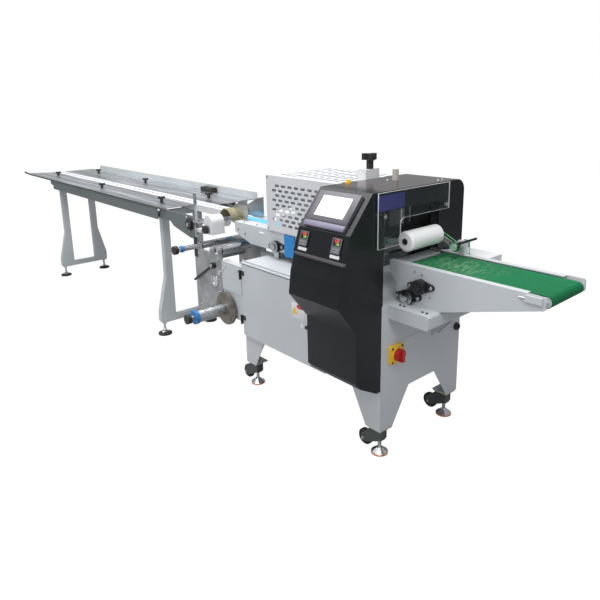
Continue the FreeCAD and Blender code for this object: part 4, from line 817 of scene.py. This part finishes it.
# %% Caps
for k, (y, z, radius) in enumerate(((262, 545, 13), (250, 468, 18)), start=1):
    settle(twin(screw), "cable_cap_%d" % k, facing(at(0, y, z), END), "black_plastic",
           size=radius / 1000)
for model in (screw, ring, pulley):
    bpy.data.objects.remove(model)
print("new pieces:", len(new_pieces))

# %% [markdown]
# ## Floor, light and camera

# %% [markdown]
# The machine stands on a white studio floor.  Lamps alone would leave it grey, so the camera
# sees a soft glow there, and the machine is still lit by the plain floor.

# %% Floor
GLOW_SHARE = 0.92      # the rest is the floor's own shade, which keeps soft contact shadows
bpy.ops.object.select_all(action="DESELECT")
bpy.ops.mesh.primitive_plane_add(size=40, location=(0, 0, -0.001))
floor = bpy.context.object
floor.name = "floor"
bpy.ops.object.transform_apply(location=True)
floor_paint = bpy.data.materials.new("pale_floor")
floor_paint.use_nodes = True
tree = floor_paint.node_tree
shader = tree.nodes["Principled BSDF"]
shader.inputs["Base Color"].default_value = (0.36, 0.36, 0.37, 1)
shader.inputs["Roughness"].default_value = 0.9
glow = tree.nodes.new("ShaderNodeEmission")
glow.inputs["Color"].default_value = (1, 1, 1, 1)
glow.inputs["Strength"].default_value = 1.09
ray = tree.nodes.new("ShaderNodeLightPath")
share = tree.nodes.new("ShaderNodeMath")
share.operation = "MULTIPLY"
share.inputs[1].default_value = GLOW_SHARE
blend = tree.nodes.new("ShaderNodeMixShader")
tree.links.new(ray.outputs["Is Camera Ray"], share.inputs[0])
tree.links.new(share.outputs["Value"], blend.inputs["Fac"])
tree.links.new(shader.outputs["BSDF"], blend.inputs[1])
tree.links.new(glow.outputs["Emission"], blend.inputs[2])
tree.links.new(blend.outputs["Shader"], tree.nodes["Material Output"].inputs["Surface"])
floor.data.materials.append(floor_paint)
print("floor laid")

# %% [markdown]
# A pale even sky fills the shadows.  The camera itself sees pure white behind the machine.

# %% World
world = bpy.data.worlds.new("studio")
bpy.context.scene.world = world
world.use_nodes = True
tree = world.node_tree
soft = tree.nodes["Background"]
soft.inputs["Color"].default_value = (0.95, 0.97, 1.0, 1)
soft.inputs["Strength"].default_value = 0.42
white = tree.nodes.new("ShaderNodeBackground")
white.inputs["Color"].default_value = (1, 1, 1, 1)
white.inputs["Strength"].default_value = 1.0
ray = tree.nodes.new("ShaderNodeLightPath")
pick = tree.nodes.new("ShaderNodeMixShader")
tree.links.new(ray.outputs["Is Camera Ray"], pick.inputs["Fac"])
tree.links.new(soft.outputs["Background"], pick.inputs[1])
tree.links.new(white.outputs["Background"], pick.inputs[2])
tree.links.new(pick.outputs["Shader"], tree.nodes["World Output"].inputs["Surface"])
print("world set")

# %% [markdown]
# Two wide lamps hang over the machine and the long table, one stands in front, one beside the
# discharge end, and a small one picks out the white roller.  Wide lamps give soft shadows.

# %% Lamps
def lamp(name, place, target, size, power):
    bpy.ops.object.light_add(type="AREA", location=place)
    light = bpy.context.object
    light.name = name
    light.data.size = size
    light.data.energy = power
    light.rotation_euler = (Vector(target) - Vector(place)).to_track_quat("-Z", "Y").to_euler()


lamp("machine_lamp", (1.3, -0.5, 4.6), (1.3, -0.1, 0.7), 4.0, 168)
lamp("table_lamp", (-1.7, -0.4, 4.6), (-1.7, 0, 0.8), 4.0, 190)
lamp("front_lamp", (1.4, -5.2, 2.6), (0.9, 0, 0.6), 3.0, 55)
lamp("side_lamp", (6.2, -1.2, 2.6), (2.0, 0, 0.7), 2.4, 20)
lamp("roller_lamp", (3.3, -0.9, 2.2), (2.0, 0, 0.94), 0.7, 9)
print("lamps placed")

# %% [markdown]
# The camera looks from the front of the discharge end, a little above the hood.  Its turn is
# built from an azimuth, an elevation and a slight roll, and the lens is shifted so that upright
# edges stay nearly upright.

# %% Camera
azimuth, elevation, roll = math.radians(48.953), math.radians(13.975), math.radians(-0.996)
back = Vector((math.sin(azimuth) * math.cos(elevation), -math.cos(azimuth) * math.cos(elevation),
               math.sin(elevation)))
right = Vector((math.cos(azimuth), math.sin(azimuth), 0))
up = back.cross(right)
turned_right = right * math.cos(roll) + up * math.sin(roll)
turned_up = up * math.cos(roll) - right * math.sin(roll)
camera_place = at(1428, -1933.5, 1500)
bpy.ops.object.camera_add(location=camera_place)
camera = bpy.context.object
camera.name = "camera"
turn = Matrix((turned_right, turned_up, back)).transposed().to_4x4()
camera.matrix_world = Matrix.Translation(camera_place) @ turn
camera.data.sensor_width = 36.0
camera.data.lens = 34.18
camera.data.shift_x = -0.0065
camera.data.shift_y = -0.0922
bpy.context.scene.camera = camera
bpy.context.scene.view_settings.view_transform = "Standard"
print("camera set")
